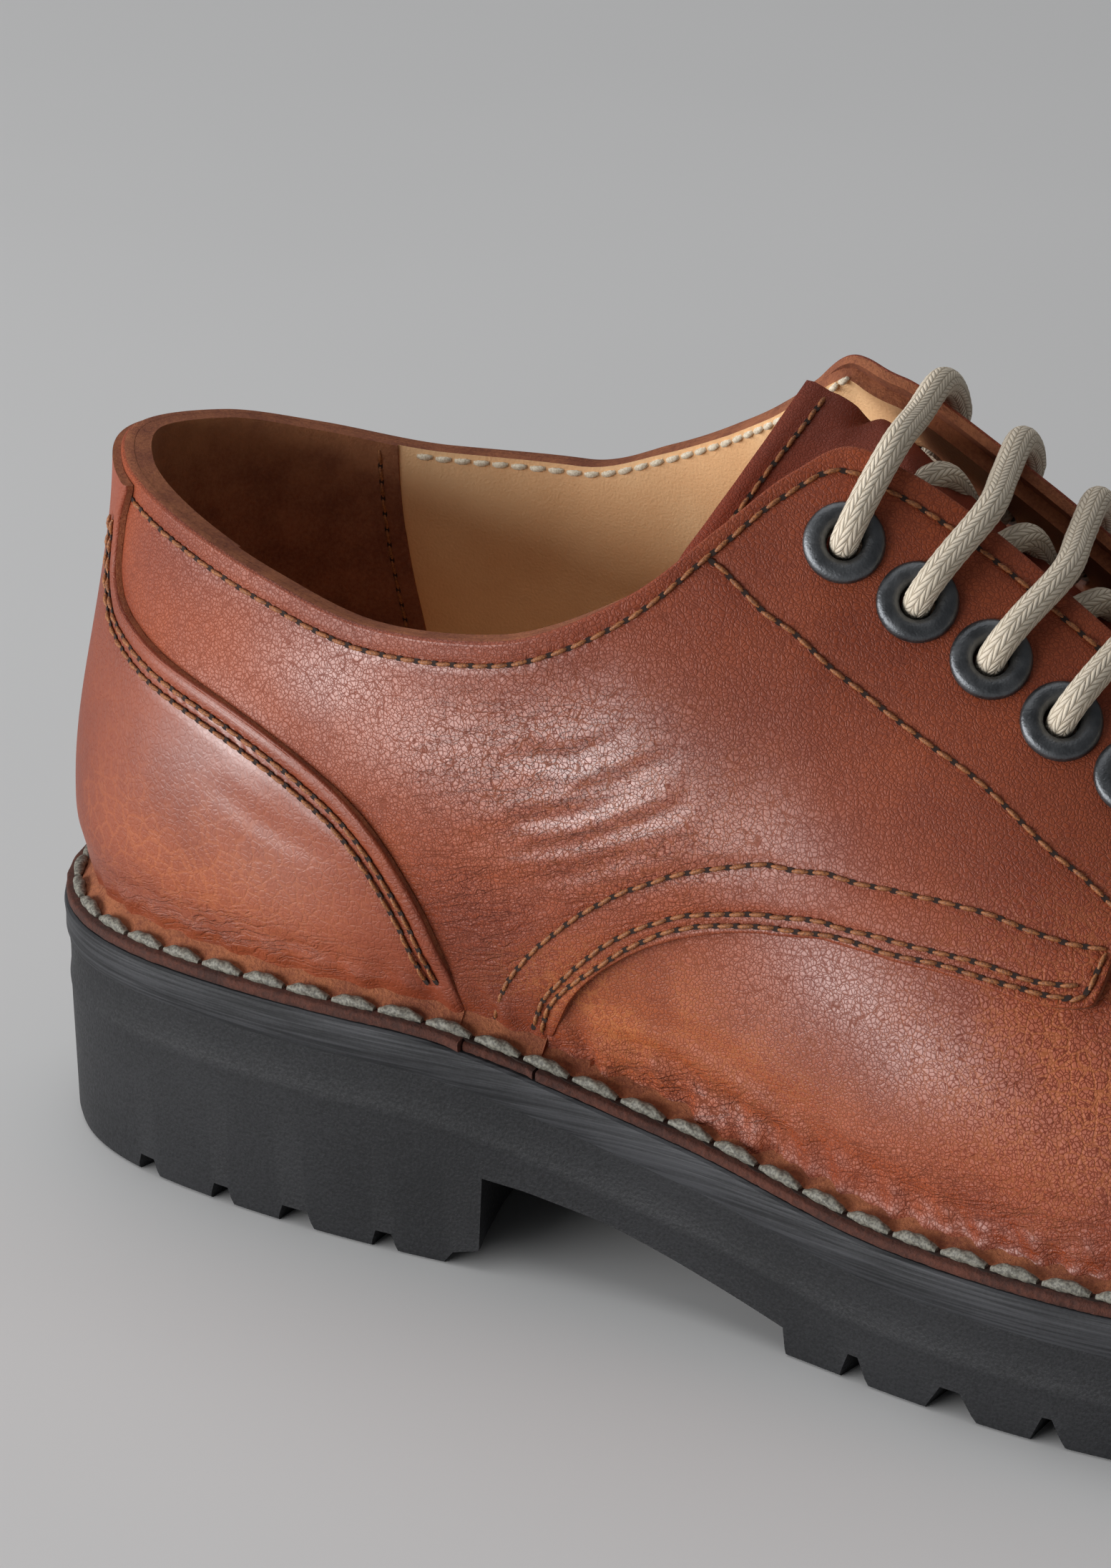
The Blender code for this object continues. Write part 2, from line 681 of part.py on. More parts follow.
def make_channel(name, side, start, end, cutters):
    """Groove along the foot inside the edge lugs."""
    x = np.linspace(start, end, 16)
    edge, normal = outline_at_x(side, x)
    rings = []
    for inset in (LUG_LENGTH - 1.0, LUG_LENGTH + 3.0):
        plan = edge - normal * inset
        rings.append((in_space(plan, tread(x) - 2.0), in_space(plan, tread(x) + TREAD_DEPTH)))
    grid = np.stack([rings[0][0], rings[1][0], rings[1][1], rings[0][1]], 1)
    count = len(x)
    faces = [(0, 1, 2, 3), tuple((count - 1) * 4 + k for k in range(4))]
    for i in range(count - 1):
        for k in range(4):
            m = (k + 1) % 4
            faces.append((i * 4 + k, i * 4 + m, (i + 1) * 4 + m, (i + 1) * 4 + k))
    add_mesh(name, grid, faces, cutters)


def make_cross_channel(name, x, width, cutters):
    ends = []
    for side in (LATERAL, MEDIAL):
        edge, normal = outline_at_x(side, np.array([x]))
        ends.append((edge - normal * (LUG_LENGTH + 1.0))[0])
    level = float(tread(np.array([x]))[0])
    rings = []
    for end in ends:
        ring = [
            (x - width / 2, end[1], level - 2.0),
            (x + width / 2, end[1], level - 2.0),
            (x + width / 2, end[1], level + TREAD_DEPTH - 0.4),
            (x - width / 2, end[1], level + TREAD_DEPTH - 0.4),
        ]
        rings.append(np.array(ring))
    prism(name, rings, cutters)


def eyelet_frame(side, station, height):
    """Middle of an eyelet on the outer face of the quarter, and the direction it looks."""
    place = over_wall(side, np.array([station]), np.array([height]), PANEL_GAP + PANEL)[0]
    return place, wall_normal(side, np.array([station]), np.array([height]))[0]


def facing_matrix(place, normal):
    turn = Vector(normal).to_track_quat("Z", "Y").to_matrix().to_4x4()
    return Matrix.Translation(Vector(to_metres(place)[0])) @ turn


def make_eyelet(name, place, normal, shoe, metal):
    profile = (
        (EYELET_HOLE, -EYELET_DEPTH),
        (EYELET_HOLE, 0.5),
        (EYELET_HOLE + 0.8, EYELET_RISE),
        (EYELET_RADIUS - 0.8, 1.2),
        (EYELET_RADIUS, 0.2),
        (EYELET_BARREL, 0.15),
        (EYELET_BARREL, -EYELET_DEPTH),
    )
    mesh = bpy.data.meshes.new(name)
    points = [(r * 0.001, 0.0, z * 0.001) for r, z in profile]
    edges = [(i, (i + 1) % len(points)) for i in range(len(points))]
    mesh.from_pydata(points, edges, [])
    mesh.materials.append(metal)
    eyelet = bpy.data.objects.new(name, mesh)
    shoe.objects.link(eyelet)
    turn = eyelet.modifiers.new("turned", "SCREW")
    turn.axis = "Z"
    turn.angle = math.tau
    turn.steps = 12
    turn.render_steps = 12
    turn.use_merge_vertices = True
    turn.merge_threshold = 0.00001
    turn.use_smooth_shade = True
    turn.use_normal_calculate = True
    eyelet.matrix_world = facing_matrix(place, normal)
    return eyelet


def make_hole(name, place, normal, holes):
    bpy.ops.mesh.primitive_cylinder_add(vertices=16, radius=LEATHER_HOLE * 0.001, depth=0.014)
    hole = bpy.context.object
    hole.name = name
    hole.matrix_world = facing_matrix(place, normal)
    for owner in list(hole.users_collection):
        owner.objects.unlink(hole)
    holes.objects.link(hole)
    return hole


def lace_path(ends, edges):
    """Middle line of a bar: out of one eyelet, over both facings, into the other."""
    up = ends[0][1] + ends[1][1]
    up = up / np.linalg.norm(up)
    halves = []
    for (place, normal), other in ((ends[0], ends[1][0]), (ends[1], ends[0][0])):
        inward = other - place
        inward = inward - normal * inward.dot(normal)
        inward = inward / np.linalg.norm(inward)
        halves.append([place + normal * rise + inward * shift for rise, shift in LACE_BEND])
    rises = (LACE_REST[0], (LACE_REST[0] + LACE_REST[1]) / 2, LACE_REST[1])
    middles = (edges[0], (edges[0] + edges[1]) / 2, edges[1])
    top = [middle + up * rise for middle, rise in zip(middles, rises)]
    knots = np.array(halves[0] + top + halves[1][::-1])
    marks = np.r_[0, np.cumsum(np.linalg.norm(np.diff(knots, axis=0), axis=1))]
    slope = np.gradient(knots, marks, axis=0)
    at = np.unique(np.round(np.r_[marks, np.linspace(0, marks[-1], 7)], 2))
    i = np.clip(np.searchsorted(marks, at, side="right") - 1, 0, len(marks) - 2)
    h = (marks[i + 1] - marks[i])[:, None]
    t = (at - marks[i])[:, None] / h
    path = (1 + 2 * t) * (1 - t) ** 2 * knots[i] + t * (1 - t) ** 2 * h * slope[i]
    return path + t * t * (3 - 2 * t) * knots[i + 1] + t * t * (t - 1) * h * slope[i + 1]


def make_lace_bar(name, path, shoe, cotton):
    curve = bpy.data.curves.new(name, "CURVE")
    curve.dimensions = "3D"
    curve.bevel_depth = LACE_RADIUS * 0.001
    curve.bevel_resolution = 2
    curve.use_fill_caps = True
    spline = curve.splines.new("POLY")
    spline.points.add(len(path) - 1)
    for point, place in zip(spline.points, to_metres(path)):
        point.co = (*place, 1.0)
    spline.use_smooth = True
    curve.materials.append(cotton)
    bar = bpy.data.objects.new(name, curve)
    shoe.objects.link(bar)
    return bar


def new_collection(name, parent):
    collection = bpy.data.collections.new(name)
    parent.children.link(collection)
    return collection


def main():
    clear_scene()
    root = bpy.context.scene.collection
    shoe = new_collection("postman_shoe", root)
    helpers = new_collection("cutters", root)
    tread_cutters = new_collection("tread_cutters", helpers)
    hole_cutters = {
        LATERAL: new_collection("lateral_holes", helpers),
        MEDIAL: new_collection("medial_holes", helpers),
    }
    all_holes = new_collection("eyelet_holes", helpers)
    leather = new_material("brown_leather", (0.30, 0.095, 0.035), 0.5)
    counter_leather = new_material("counter_leather", (0.32, 0.11, 0.04), 0.5)
    tongue_leather = new_material("tongue_leather", (0.26, 0.08, 0.03), 0.55)
    lining = new_material("natural_leather", (0.62, 0.40, 0.20), 0.7)
    rubber = new_material("black_rubber", (0.022, 0.022, 0.024), 0.75)
    metal = new_material("gunmetal", (0.10, 0.105, 0.11), 0.35, 1.0)
    cotton = new_material("ecru_cotton", (0.66, 0.58, 0.45), 0.9)

    make_soles(shoe, tread_cutters, rubber, lining)
    upper = make_upper(shoe, leather)
    quarters = {
        LATERAL: make_quarter("quarter_lateral", LATERAL, shoe, leather),
        MEDIAL: make_quarter("quarter_medial", MEDIAL, shoe, leather),
    }
    make_counter(shoe, counter_leather)
    make_tongue(shoe, tongue_leather)

    for number, outer_station, outer_height, inner_station, inner_height in EYELETS:
        ends = []
        edges = []
        for side, label, station, height in (
            (LATERAL, "lateral", outer_station, outer_height),
            (MEDIAL, "medial", inner_station, inner_height),
        ):
            place, normal = eyelet_frame(side, station, height)
            make_eyelet(f"eyelet_{label}_{number}", place, normal, shoe, metal)
            hole = make_hole(f"hole_{label}_{number}", place, normal, hole_cutters[side])
            all_holes.objects.link(hole)
            ends.append((place, normal))
            edges.append(over_wall(side, np.array([station]), np.array([0.999]), PANEL_GAP + PANEL)[0])
        make_lace_bar(f"lace_bar_{number}", lace_path(ends, edges), shoe, cotton)
    cut_with(upper, all_holes)
    for side, quarter in quarters.items():
        cut_with(quarter, hole_cutters[side])
    for helper in helpers.all_objects:
        helper.hide_render = True
        helper.display_type = "WIRE"


main()
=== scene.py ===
"""Looks of the postman shoe for the right foot: stitched-down derby, lugged rubber sole, bar lacing.

Sizes are millimetres from the back of the heel, as in the solids: x towards the toe, y towards the
inner (medial) side, z up from the floor. Finished pieces are in metres about the middle of the sole.
"""

import json
import math

import bmesh
import bpy
import numpy as np
from mathutils import Matrix, Vector

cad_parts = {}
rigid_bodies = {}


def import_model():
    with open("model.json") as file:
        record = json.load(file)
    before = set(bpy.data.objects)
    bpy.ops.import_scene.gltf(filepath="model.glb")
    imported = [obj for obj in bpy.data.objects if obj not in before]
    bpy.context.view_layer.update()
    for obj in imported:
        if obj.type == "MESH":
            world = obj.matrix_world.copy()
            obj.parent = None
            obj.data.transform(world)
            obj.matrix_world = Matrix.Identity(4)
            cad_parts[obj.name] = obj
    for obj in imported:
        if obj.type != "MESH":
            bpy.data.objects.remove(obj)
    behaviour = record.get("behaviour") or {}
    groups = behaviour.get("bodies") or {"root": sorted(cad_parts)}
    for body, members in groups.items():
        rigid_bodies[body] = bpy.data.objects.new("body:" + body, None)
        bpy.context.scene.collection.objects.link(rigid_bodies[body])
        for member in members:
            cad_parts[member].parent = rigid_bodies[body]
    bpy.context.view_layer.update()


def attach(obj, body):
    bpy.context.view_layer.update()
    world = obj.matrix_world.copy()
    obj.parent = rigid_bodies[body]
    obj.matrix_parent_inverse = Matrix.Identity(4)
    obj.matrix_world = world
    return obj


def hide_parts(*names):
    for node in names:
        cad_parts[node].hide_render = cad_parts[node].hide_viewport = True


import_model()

# Sole outline seen from above, once round from the back of the heel by the outer side.
# Columns: name, x, y.
SOLE_OUTLINE = (
    ("heel_back", 0.0, 0.0),
    ("heel_back_lateral", 10.0, -22.2),
    ("heel_lateral", 34.0, -33.0),
    ("breast_lateral", 71.0, -37.4),
    ("waist_lateral", 105.0, -38.8),
    ("joint_lateral", 140.0, -47.2),
    ("ball_lateral", 170.0, -51.0),
    ("little_toe", 207.0, -46.8),
    ("toe_lateral", 243.0, -32.0),
    ("toe_front_lateral", 260.5, -15.5),
    ("toe_tip", 268.0, 5.0),
    ("toe_front_medial", 262.5, 24.0),
    ("toe_medial", 247.0, 37.5),
    ("big_toe", 221.0, 46.6),
    ("ball_medial", 190.0, 49.0),
    ("joint_medial", 157.0, 42.0),
    ("waist_medial", 117.0, 32.5),
    ("breast_medial", 74.0, 33.2),
    ("heel_medial", 34.0, 32.6),
    ("heel_back_medial", 10.0, 22.0),
)

# Height of the rubber along the foot. Columns: x, top of the midsole, tread plane.
SOLE_HEIGHTS = (
    (0.0, 31.8, 0.0),
    (64.0, 31.8, 0.0),
    (105.0, 24.6, 0.0),
    (138.0, 19.8, 0.0),
    (168.0, 19.2, 0.0),
    (188.0, 19.6, 0.0),
    (205.0, 20.6, 1.0),
    (235.0, 24.4, 4.6),
    (268.0, 30.0, 10.0),
)

# Columns of the upper from the feather line to its top line. Columns: name, x on the sole outline,
# top x, top y, top z, tangent length and outward lean at the feather, tangent length and
# slope below the horizontal at the top.
UPPER_LATERAL = (
    ("heel_back", 0, 12.3, 0.0, 94.3, 24, 7, 26, 86),
    ("heel_round", 13, 17.6, -11.5, 93.6, 24, 8, 26, 87),
    ("heel_side", 28, 28.0, -19.4, 91.0, 26.2, 9.3, 23.2, 83.4),
    ("counter", 48, 44.0, -25.2, 86.8, 24.2, 13, 16.3, 79.3),
    ("collar_low", 68, 62.0, -29.6, 83.8, 26.8, 12.2, 20.6, 81),
    ("collar_mid", 84, 80.0, -32.0, 85.6, 31.1, 12.9, 22.2, 87.8),
    ("collar_rise", 98, 95.8, -27.6, 91.9, 28.5, 13.4, 19.6, 74),
    ("collar_front", 108, 105.4, -21.5, 99.8, 27.2, 13.2, 19.4, 61.2),
    ("corner_rear", 114, 112.4, -15.5, 105.7, 27.2, 12.9, 21.1, 52.5),
    ("corner", 119, 118.4, -11.3, 108.5, 26.8, 13.4, 21.4, 47.7),
    ("facing_top", 125, 125.3, -9.7, 105.7, 27.4, 12.6, 22.2, 47.7),
    ("facing_mid", 140, 139.4, -7.3, 95.8, 18.7, 12.2, 24.9, 33.1),
    ("facing_low", 154, 155.0, -7.6, 84.6, 14.5, 12.7, 29.6, 32),
    ("throat", 162, 164.0, -6.0, 78.2, 16.1, 11.3, 26.7, 23),
    ("vamp_point", 170, 171.0, 0.0, 74.0, 16.1, 13.4, 25.2, 1.3),
    ("vamp_mid", 190, 192.0, 0.0, 66.2, 16, 18, 24, 8),
    ("toe_rise", 215, 213.0, 0.6, 62.0, 15, 16, 22, 5),
    ("toe_top", 238, 231.0, 2.4, 59.6, 14, 14, 16, 5),
    ("toe_round", 257, 242.0, 4.0, 56.4, 14, 12, 14, 10),
    ("toe_tip", 268, 247.0, 4.8, 54.0, 14, 12, 13, 16),
)
UPPER_MEDIAL = (
    ("heel_back", 0, 12.3, 0.0, 94.3, 24, 7, 26, 86),
    ("heel_round", 13, 17.6, 11.5, 93.0, 24, 8, 26, 87),
    ("heel_side", 28, 28.0, 19.4, 90.0, 24, 9, 24, 88),
    ("counter", 48, 44.0, 25.4, 86.8, 24, 8, 22, 90),
    ("collar_low", 68, 62.0, 28.8, 86.2, 24, 8, 22, 88),
    ("collar_mid", 84, 75.0, 28.2, 90.0, 24, 9, 22, 80),
    ("collar_rise", 96, 86.0, 25.0, 95.2, 24, 10, 24, 70),
    ("collar_front", 104, 95.0, 19.8, 100.8, 24, 11, 26, 60),
    ("corner_rear", 109, 102.3, 14.3, 106.4, 24, 12, 28, 52),
    ("corner", 113, 109.8, 10.0, 111.6, 24, 12, 30, 46),
    ("facing_top", 119, 116.5, 7.8, 110.2, 24, 13, 30, 42),
    ("facing_mid", 138, 136.0, 7.8, 98.6, 22, 14, 28, 38),
    ("facing_low", 154, 155.0, 7.6, 85.0, 20, 15, 26, 34),
    ("throat", 162, 164.0, 6.0, 78.4, 19, 16, 26, 28),
    ("vamp_point", 170, 171.0, 0.0, 74.0, 18, 16, 26, 12),
    ("vamp_mid", 190, 192.0, 0.0, 66.2, 16, 16, 24, 8),
    ("toe_rise", 215, 213.0, 0.6, 62.0, 15, 15, 22, 5),
    ("toe_top", 238, 231.0, 2.4, 59.6, 14, 14, 16, 5),
    ("toe_round", 257, 242.0, 4.0, 56.4, 14, 12, 14, 10),
    ("toe_tip", 268, 247.0, 4.8, 54.0, 14, 12, 13, 16),
)
VAMP_POINT = 14
TOE_TIP = 19
LATERAL, MEDIAL = -1, 1

# Wall of the upper and the panels laid over it.
GAP = 0.3
WALL = 1.8
FLANGE_WIDTH = 6.0
PANEL = 1.3
PANEL_GAP = 0.4

# Front edge of the heel counter. Columns: height on the wall (0 feather, 1 top), station.
COUNTER_EDGE = (
    (0.012, 4.37),
    (0.082, 4.32),
    (0.199, 4.22),
    (0.317, 4.08),
    (0.430, 3.92),
    (0.516, 3.71),
    (0.566, 3.43),
    (0.611, 2.93),
    (0.667, 2.31),
    (0.713, 1.69),
    (0.752, 1.25),
    (0.809, 1.06),
    (0.890, 1.13),
    (0.978, 1.37),
)

# Lower and front edge of a quarter. Columns: station, height on the wall.
QUARTER_EDGE = (
    (0.25, 0.012),
    (5.10, 0.012),
    (5.16, 0.022),
    (5.24, 0.050),
    (5.42, 0.118),
    (5.63, 0.177),
    (5.89, 0.228),
    (6.16, 0.264),
    (6.45, 0.289),
    (6.89, 0.308),
    (7.54, 0.317),
    (9.03, 0.327),
    (9.73, 0.339),
    (10.18, 0.355),
    (10.69, 0.390),
    (11.19, 0.427),
    (11.67, 0.463),
    (12.27, 0.488),
    (12.52, 0.492),
    (12.72, 0.498),
    (12.82, 0.530),
    (12.88, 0.600),
    (12.98, 0.700),
    (13.11, 0.800),
    (13.30, 0.930),
)

# Eyelets. Columns: number, station and height on the outer side, station and height on the inner.
EYELETS = (
    (1, 9.48, 0.843, 10.20, 0.855),
    (2, 10.47, 0.828, 10.68, 0.850),
    (3, 11.09, 0.833, 11.16, 0.845),
    (4, 11.64, 0.841, 11.66, 0.835),
    (5, 12.40, 0.842, 12.38, 0.831),
)
EYELET_HOLE = 2.2
EYELET_BARREL = 2.85
EYELET_RADIUS = 5.05
EYELET_DEPTH = 2.9
LACE_RADIUS = 1.8

# Tongue under the facings. Columns: station, height where the outer edge ends, the same on the inner side.
TONGUE_SECTIONS = (
    (13.2, 0.70, 0.78),
    (12.4, 0.66, 0.80),
    (11.6, 0.64, 0.82),
    (10.8, 0.64, 0.86),
    (10.0, 0.66, 0.90),
)
# Two more sections behind the facings, the second its free end, from the outer edge inside the
# collar to the inner corner. Columns: x, y, z.
TONGUE_NECK = (
    (106.0, -23.8, 86.8),
    (108.5, -18.3, 96.4),
    (110.5, -12.9, 101.2),
    (112.0, -6.6, 104.9),
    (112.7, -1.0, 107.0),
    (112.9, 4.5, 107.8),
)
TONGUE_END = (
    (97.5, -25.6, 86.0),
    (100.0, -22.6, 94.8),
    (102.6, -18.5, 99.9),
    (104.6, -13.0, 104.3),
    (105.7, -5.5, 108.1),
    (106.0, 4.0, 111.3),
)
TONGUE_THICKNESS = 1.6

# Rubber.
MIDSOLE = 5.0
SIDE_RIB = 6.0
INSOLE = 2.5
INSOLE_CLEARANCE = 1.0
TREAD_DEPTH = 3.8
HEEL_TREAD_DEPTH = 2.6
LUG_LENGTH = 13.0

# Arch under the waist, from the heel breast to the first forefoot lug. Columns: x, z.
ARCH = (
    (72.0, -3.0),
    (72.0, 0.3),
    (73.4, 2.0),
    (77.2, 3.0),
    (78.0, 13.5),
    (84.0, 12.9),
    (96.0, 10.8),
    (110.0, 7.0),
    (122.0, 4.0),
    (122.6, -3.0),
)
# The heel breast is hollow seen from above: its depth in the middle, half its width, its rows of the arch.
BREAST_HOLLOW = 5.5
BREAST_HALF = 37.0
BREAST_ROWS = 5

# Notches in the edge of the tread. Columns: x at the middle, width at the floor, width at the top.
HEEL_NOTCHES = ((23.9, 4.4, 2.6), (37.1, 4.2, 2.4), (49.3, 6.0, 4.0), (63.1, 4.2, 2.4))
FOREFOOT_NOTCHES = (
    (132.6, 4.7, 1.5),
    (146.8, 7.8, 2.8),
    (160.2, 5.0, 1.3),
    (174.4, 7.8, 2.8),
    (188.4, 5.0, 1.3),
    (202.8, 7.8, 2.8),
    (216.6, 5.0, 1.3),
    (231.0, 7.0, 2.6),
    (246.0, 4.6, 1.4),
)
CROSS_CHANNELS = ((146.8, 6.0), (174.4, 6.0), (202.8, 6.0), (227.0, 5.0))


def smooth(knots, values, at):
    """Cubic through the rows that never overshoots them."""
    knots = np.asarray(knots, float)
    values = np.asarray(values, float)
    flat = values.ndim == 1
    if flat:
        values = values[:, None]
    step = np.diff(knots)[:, None]
    rate = np.diff(values, axis=0) / step
    slope = np.zeros_like(values)
    before = 2 * step[1:] + step[:-1]
    after = step[1:] + 2 * step[:-1]
    same = rate[:-1] * rate[1:] > 0
    rate0 = np.where(same, rate[:-1], 1)
    rate1 = np.where(same, rate[1:], 1)
    slope[1:-1] = np.where(same, (before + after) / (before / rate0 + after / rate1), 0)
    slope[0] = rate[0]
    slope[-1] = rate[-1]
    at = np.asarray(at, float)
    i = np.clip(np.searchsorted(knots, at, side="right") - 1, 0, len(knots) - 2)
    t = np.clip((at - knots[i]) / step[i, 0], 0, 1)[..., None]
    found = (1 + 2 * t) * (1 - t) ** 2 * values[i] + t * (1 - t) ** 2 * step[i] * slope[i]
    found = found + t * t * (3 - 2 * t) * values[i + 1] + t * t * (t - 1) * step[i] * slope[i + 1]
    return found[..., 0] if flat else found


def closed_curve(points, count=1440):
    """Smooth closed curve through the points, as count points."""
    points = np.asarray(points, float)
    n = len(points)
    chord = np.linalg.norm(np.roll(points, -1, 0) - points, axis=1)
    knots = np.r_[0, np.cumsum(chord)]
    matrix = np.zeros((n, n))
    right = np.zeros((n, 2))
    for i in range(n):
        last, this, following = chord[i - 1], chord[i], (i + 1) % n
        matrix[i, i - 1] += 1 / last
        matrix[i, i] += 2 / last + 2 / this
        matrix[i, following] += 1 / this
        right[i] = 3 * (points[i] - points[i - 1]) / last**2
        right[i] += 3 * (points[following] - points[i]) / this**2
    slope = np.linalg.solve(matrix, right)
    s = np.linspace(0, knots[-1], count, endpoint=False)
    i = np.clip(np.searchsorted(knots, s, side="right") - 1, 0, n - 1)
    j = (i + 1) % n
    h = chord[i][:, None]
    t = (s - knots[i])[:, None] / h
    curve = (1 + 2 * t) * (1 - t) ** 2 * points[i] + t * (1 - t) ** 2 * h * slope[i]
    return curve + t * t * (3 - 2 * t) * points[j] + t * t * (t - 1) * h * slope[j]


LOOP = closed_curve([row[1:] for row in SOLE_OUTLINE])
CENTRE = (LOOP.min(0) + LOOP.max(0)) / 2


def half_outline(side):
    """Points, outward normals and lengths along one side of the outline, heel to toe."""
    count = len(LOOP)
    along = np.roll(LOOP, -1, 0) - np.roll(LOOP, 1, 0)
    normals = np.stack([along[:, 1], -along[:, 0]], 1)
    normals /= np.linalg.norm(normals, axis=1)[:, None]
    if ((LOOP - LOOP.mean(0)) * normals).sum() < 0:
        normals = -normals
    back = int(np.argmin(LOOP[:, 0]))
    front = int(np.argmax(LOOP[:, 0]))
    if side == LATERAL:
        index = (back + np.arange((front - back) % count + 1)) % count
    else:
        index = (back - np.arange((back - front) % count + 1)) % count
    points = LOOP[index]
    lengths = np.r_[0, np.cumsum(np.linalg.norm(np.diff(points, axis=0), axis=1))]
    return points, normals[index], lengths


OUTLINES = {side: half_outline(side) for side in (LATERAL, MEDIAL)}


def outline_at(side, lengths):
    """Outline point and outward normal at lengths along one side."""
    points, normals, marks = OUTLINES[side]
    point = np.stack([np.interp(lengths, marks, points[:, k]) for k in (0, 1)], -1)
    normal = np.stack([np.interp(lengths, marks, normals[:, k]) for k in (0, 1)], -1)
    return point, normal / np.linalg.norm(normal, axis=-1, keepdims=True)


def outline_at_x(side, x):
    points, normals, marks = OUTLINES[side]
    return outline_at(side, np.interp(x, points[:, 0], marks))


def sole_top(x):
    return smooth([row[0] for row in SOLE_HEIGHTS], [row[1] for row in SOLE_HEIGHTS], x)


def tread(x):
    return smooth([row[0] for row in SOLE_HEIGHTS], [row[2] for row in SOLE_HEIGHTS], x)


def in_space(plan, z):
    return np.concatenate([plan, np.broadcast_to(z, plan.shape[:-1])[..., None]], -1)


def tops(rows):
    """Top of each column, with the second one mirrored behind the heel so that its back is round."""
    return [(rows[1][2], -rows[1][3], rows[1][4])] + [row[2:5] for row in rows]


def wall_curve(side, station):
    """Outline point, its normal and the four control points of the wall at each station."""
    rows = UPPER_LATERAL if side == LATERAL else UPPER_MEDIAL
    station = np.asarray(station, float)
    points, normals, marks = OUTLINES[side]
    lengths = np.interp([row[1] for row in rows], points[:, 0], marks)
    lengths[0] = 0
    lengths[-1] = marks[-1]
    order = np.arange(-1, len(rows))
    edge, normal = outline_at(side, smooth(order, np.r_[-lengths[1], lengths], station))
    top = smooth(order, tops(rows), station)
    ridge = smooth(order, tops(UPPER_LATERAL), station)
    top = np.where((station >= VAMP_POINT)[..., None], ridge, top)
    bends = smooth(order, [rows[1][5:9]] + [row[5:9] for row in rows], station)
    rise, reach = bends[..., 0:1], bends[..., 2:3]
    lean, slope = np.radians(bends[..., 1:2]), np.radians(bends[..., 3:4])
    up = np.array([0.0, 0.0, 1.0])
    out = in_space(normal, 0.0)
    foot = in_space(edge - normal * FLANGE_WIDTH, sole_top(edge[..., 0]) + GAP + WALL)
    low = foot + rise * (np.cos(lean) * up + np.sin(lean) * out)
    high = top + reach * (np.cos(slope) * out - np.sin(slope) * up)
    return edge, normal, foot, low, high, top


def wall(side, station, height):
    """Outer face of the upper: height runs from 0 at the feather to 1 at the top line."""
    station, height = np.broadcast_arrays(np.asarray(station, float), np.asarray(height, float))
    edge, normal, foot, low, high, top = wall_curve(side, station)
    t = height[..., None]
    return foot * (1 - t) ** 3 + 3 * low * t * (1 - t) ** 2 + 3 * high * t * t * (1 - t) + top * t**3


def wall_normal(side, station, height):
    station, height = np.broadcast_arrays(np.asarray(station, float), np.asarray(height, float))
    small = 0.001
    ahead = wall(side, np.clip(station + small, 0, TOE_TIP), height)
    behind = wall(side, np.clip(station - small, 0, TOE_TIP), height)
    above = wall(side, station, np.clip(height + small, 0, 1))
    below = wall(side, station, np.clip(height - small, 0, 1))
    normal = -side * np.cross(ahead - behind, above - below)
    return normal / np.linalg.norm(normal, axis=-1, keepdims=True)


def over_wall(side, station, height, distance):
    away = wall_normal(side, station, height) * np.asarray(distance, float)[..., None]
    return wall(side, station, height) + away


def even_points(line, count):
    """Even points along a smooth line through the given ones."""
    marks = np.r_[0, np.cumsum(np.linalg.norm(np.diff(line, axis=0), axis=1))]
    return smooth(marks, line, np.linspace(0, marks[-1], count))


def tongue_rows(count, depths):
    """Sections of the tongue from the throat to its free end. Depths lie under the wall."""
    rows = []
    for (station, outer, inner), depth in zip(TONGUE_SECTIONS, depths):
        halves = []
        for side, lowest in ((LATERAL, outer), (MEDIAL, inner)):
            heights = np.linspace(lowest, 0.999, 8)
            halves.append(over_wall(side, np.full(8, station), heights, -depth))
        rows.append(even_points(np.concatenate([halves[0], halves[1][::-1]]), count))
    rows += [even_points(np.array(row), count) for row in (TONGUE_NECK, TONGUE_END)]
    return np.array(rows)


def arch_rings():
    """Space under the waist as rings across the foot."""
    profile = np.array(ARCH)
    rings = []
    for share in (-1.9, -1.0, -0.85, -0.65, -0.35, 0.0, 0.35, 0.65, 0.85, 1.0, 1.9):
        hollow = BREAST_HOLLOW * max(0.0, 1 - share * share)
        x = profile[:, 0] - np.where(np.arange(len(profile)) < BREAST_ROWS, hollow, 0)
        rings.append(np.stack([x, np.full(len(x), share * BREAST_HALF), profile[:, 1]], 1))
    return np.array(rings)


# Seams of the quarter, as station and height on the wall.
UPPER_ROW = (
    (5.00, 0.036), (5.16, 0.103), (5.33, 0.151), (5.64, 0.231), (5.95, 0.289), (6.41, 0.333), (7.02, 0.352),
    (7.97, 0.353), (9.00, 0.357), (10.16, 0.382), (10.67, 0.419), (11.16, 0.456), (11.62, 0.496), (12.18, 0.525),
    (12.51, 0.532),
)
LOWER_ROW = (
    (5.06, 0.028), (5.18, 0.084), (5.35, 0.135), (5.73, 0.219), (6.16, 0.286), (6.71, 0.326), (7.22, 0.335),
    (7.80, 0.337), (8.54, 0.339), (9.85, 0.355), (10.50, 0.390), (10.98, 0.427), (11.43, 0.463), (11.92, 0.499),
    (12.26, 0.509), (12.50, 0.512), (12.66, 0.534), (12.71, 0.564), (12.78, 0.586),
)
WAVE_ROW = (
    (4.62, 0.02), (4.77, 0.088), (5.02, 0.168), (5.32, 0.253), (5.73, 0.343), (6.23, 0.397), (6.95, 0.417),
    (8.04, 0.416), (9.39, 0.421), (10.26, 0.447), (10.71, 0.483), (11.17, 0.521), (11.61, 0.561), (12.11, 0.585),
    (12.53, 0.589), (12.77, 0.588),
)
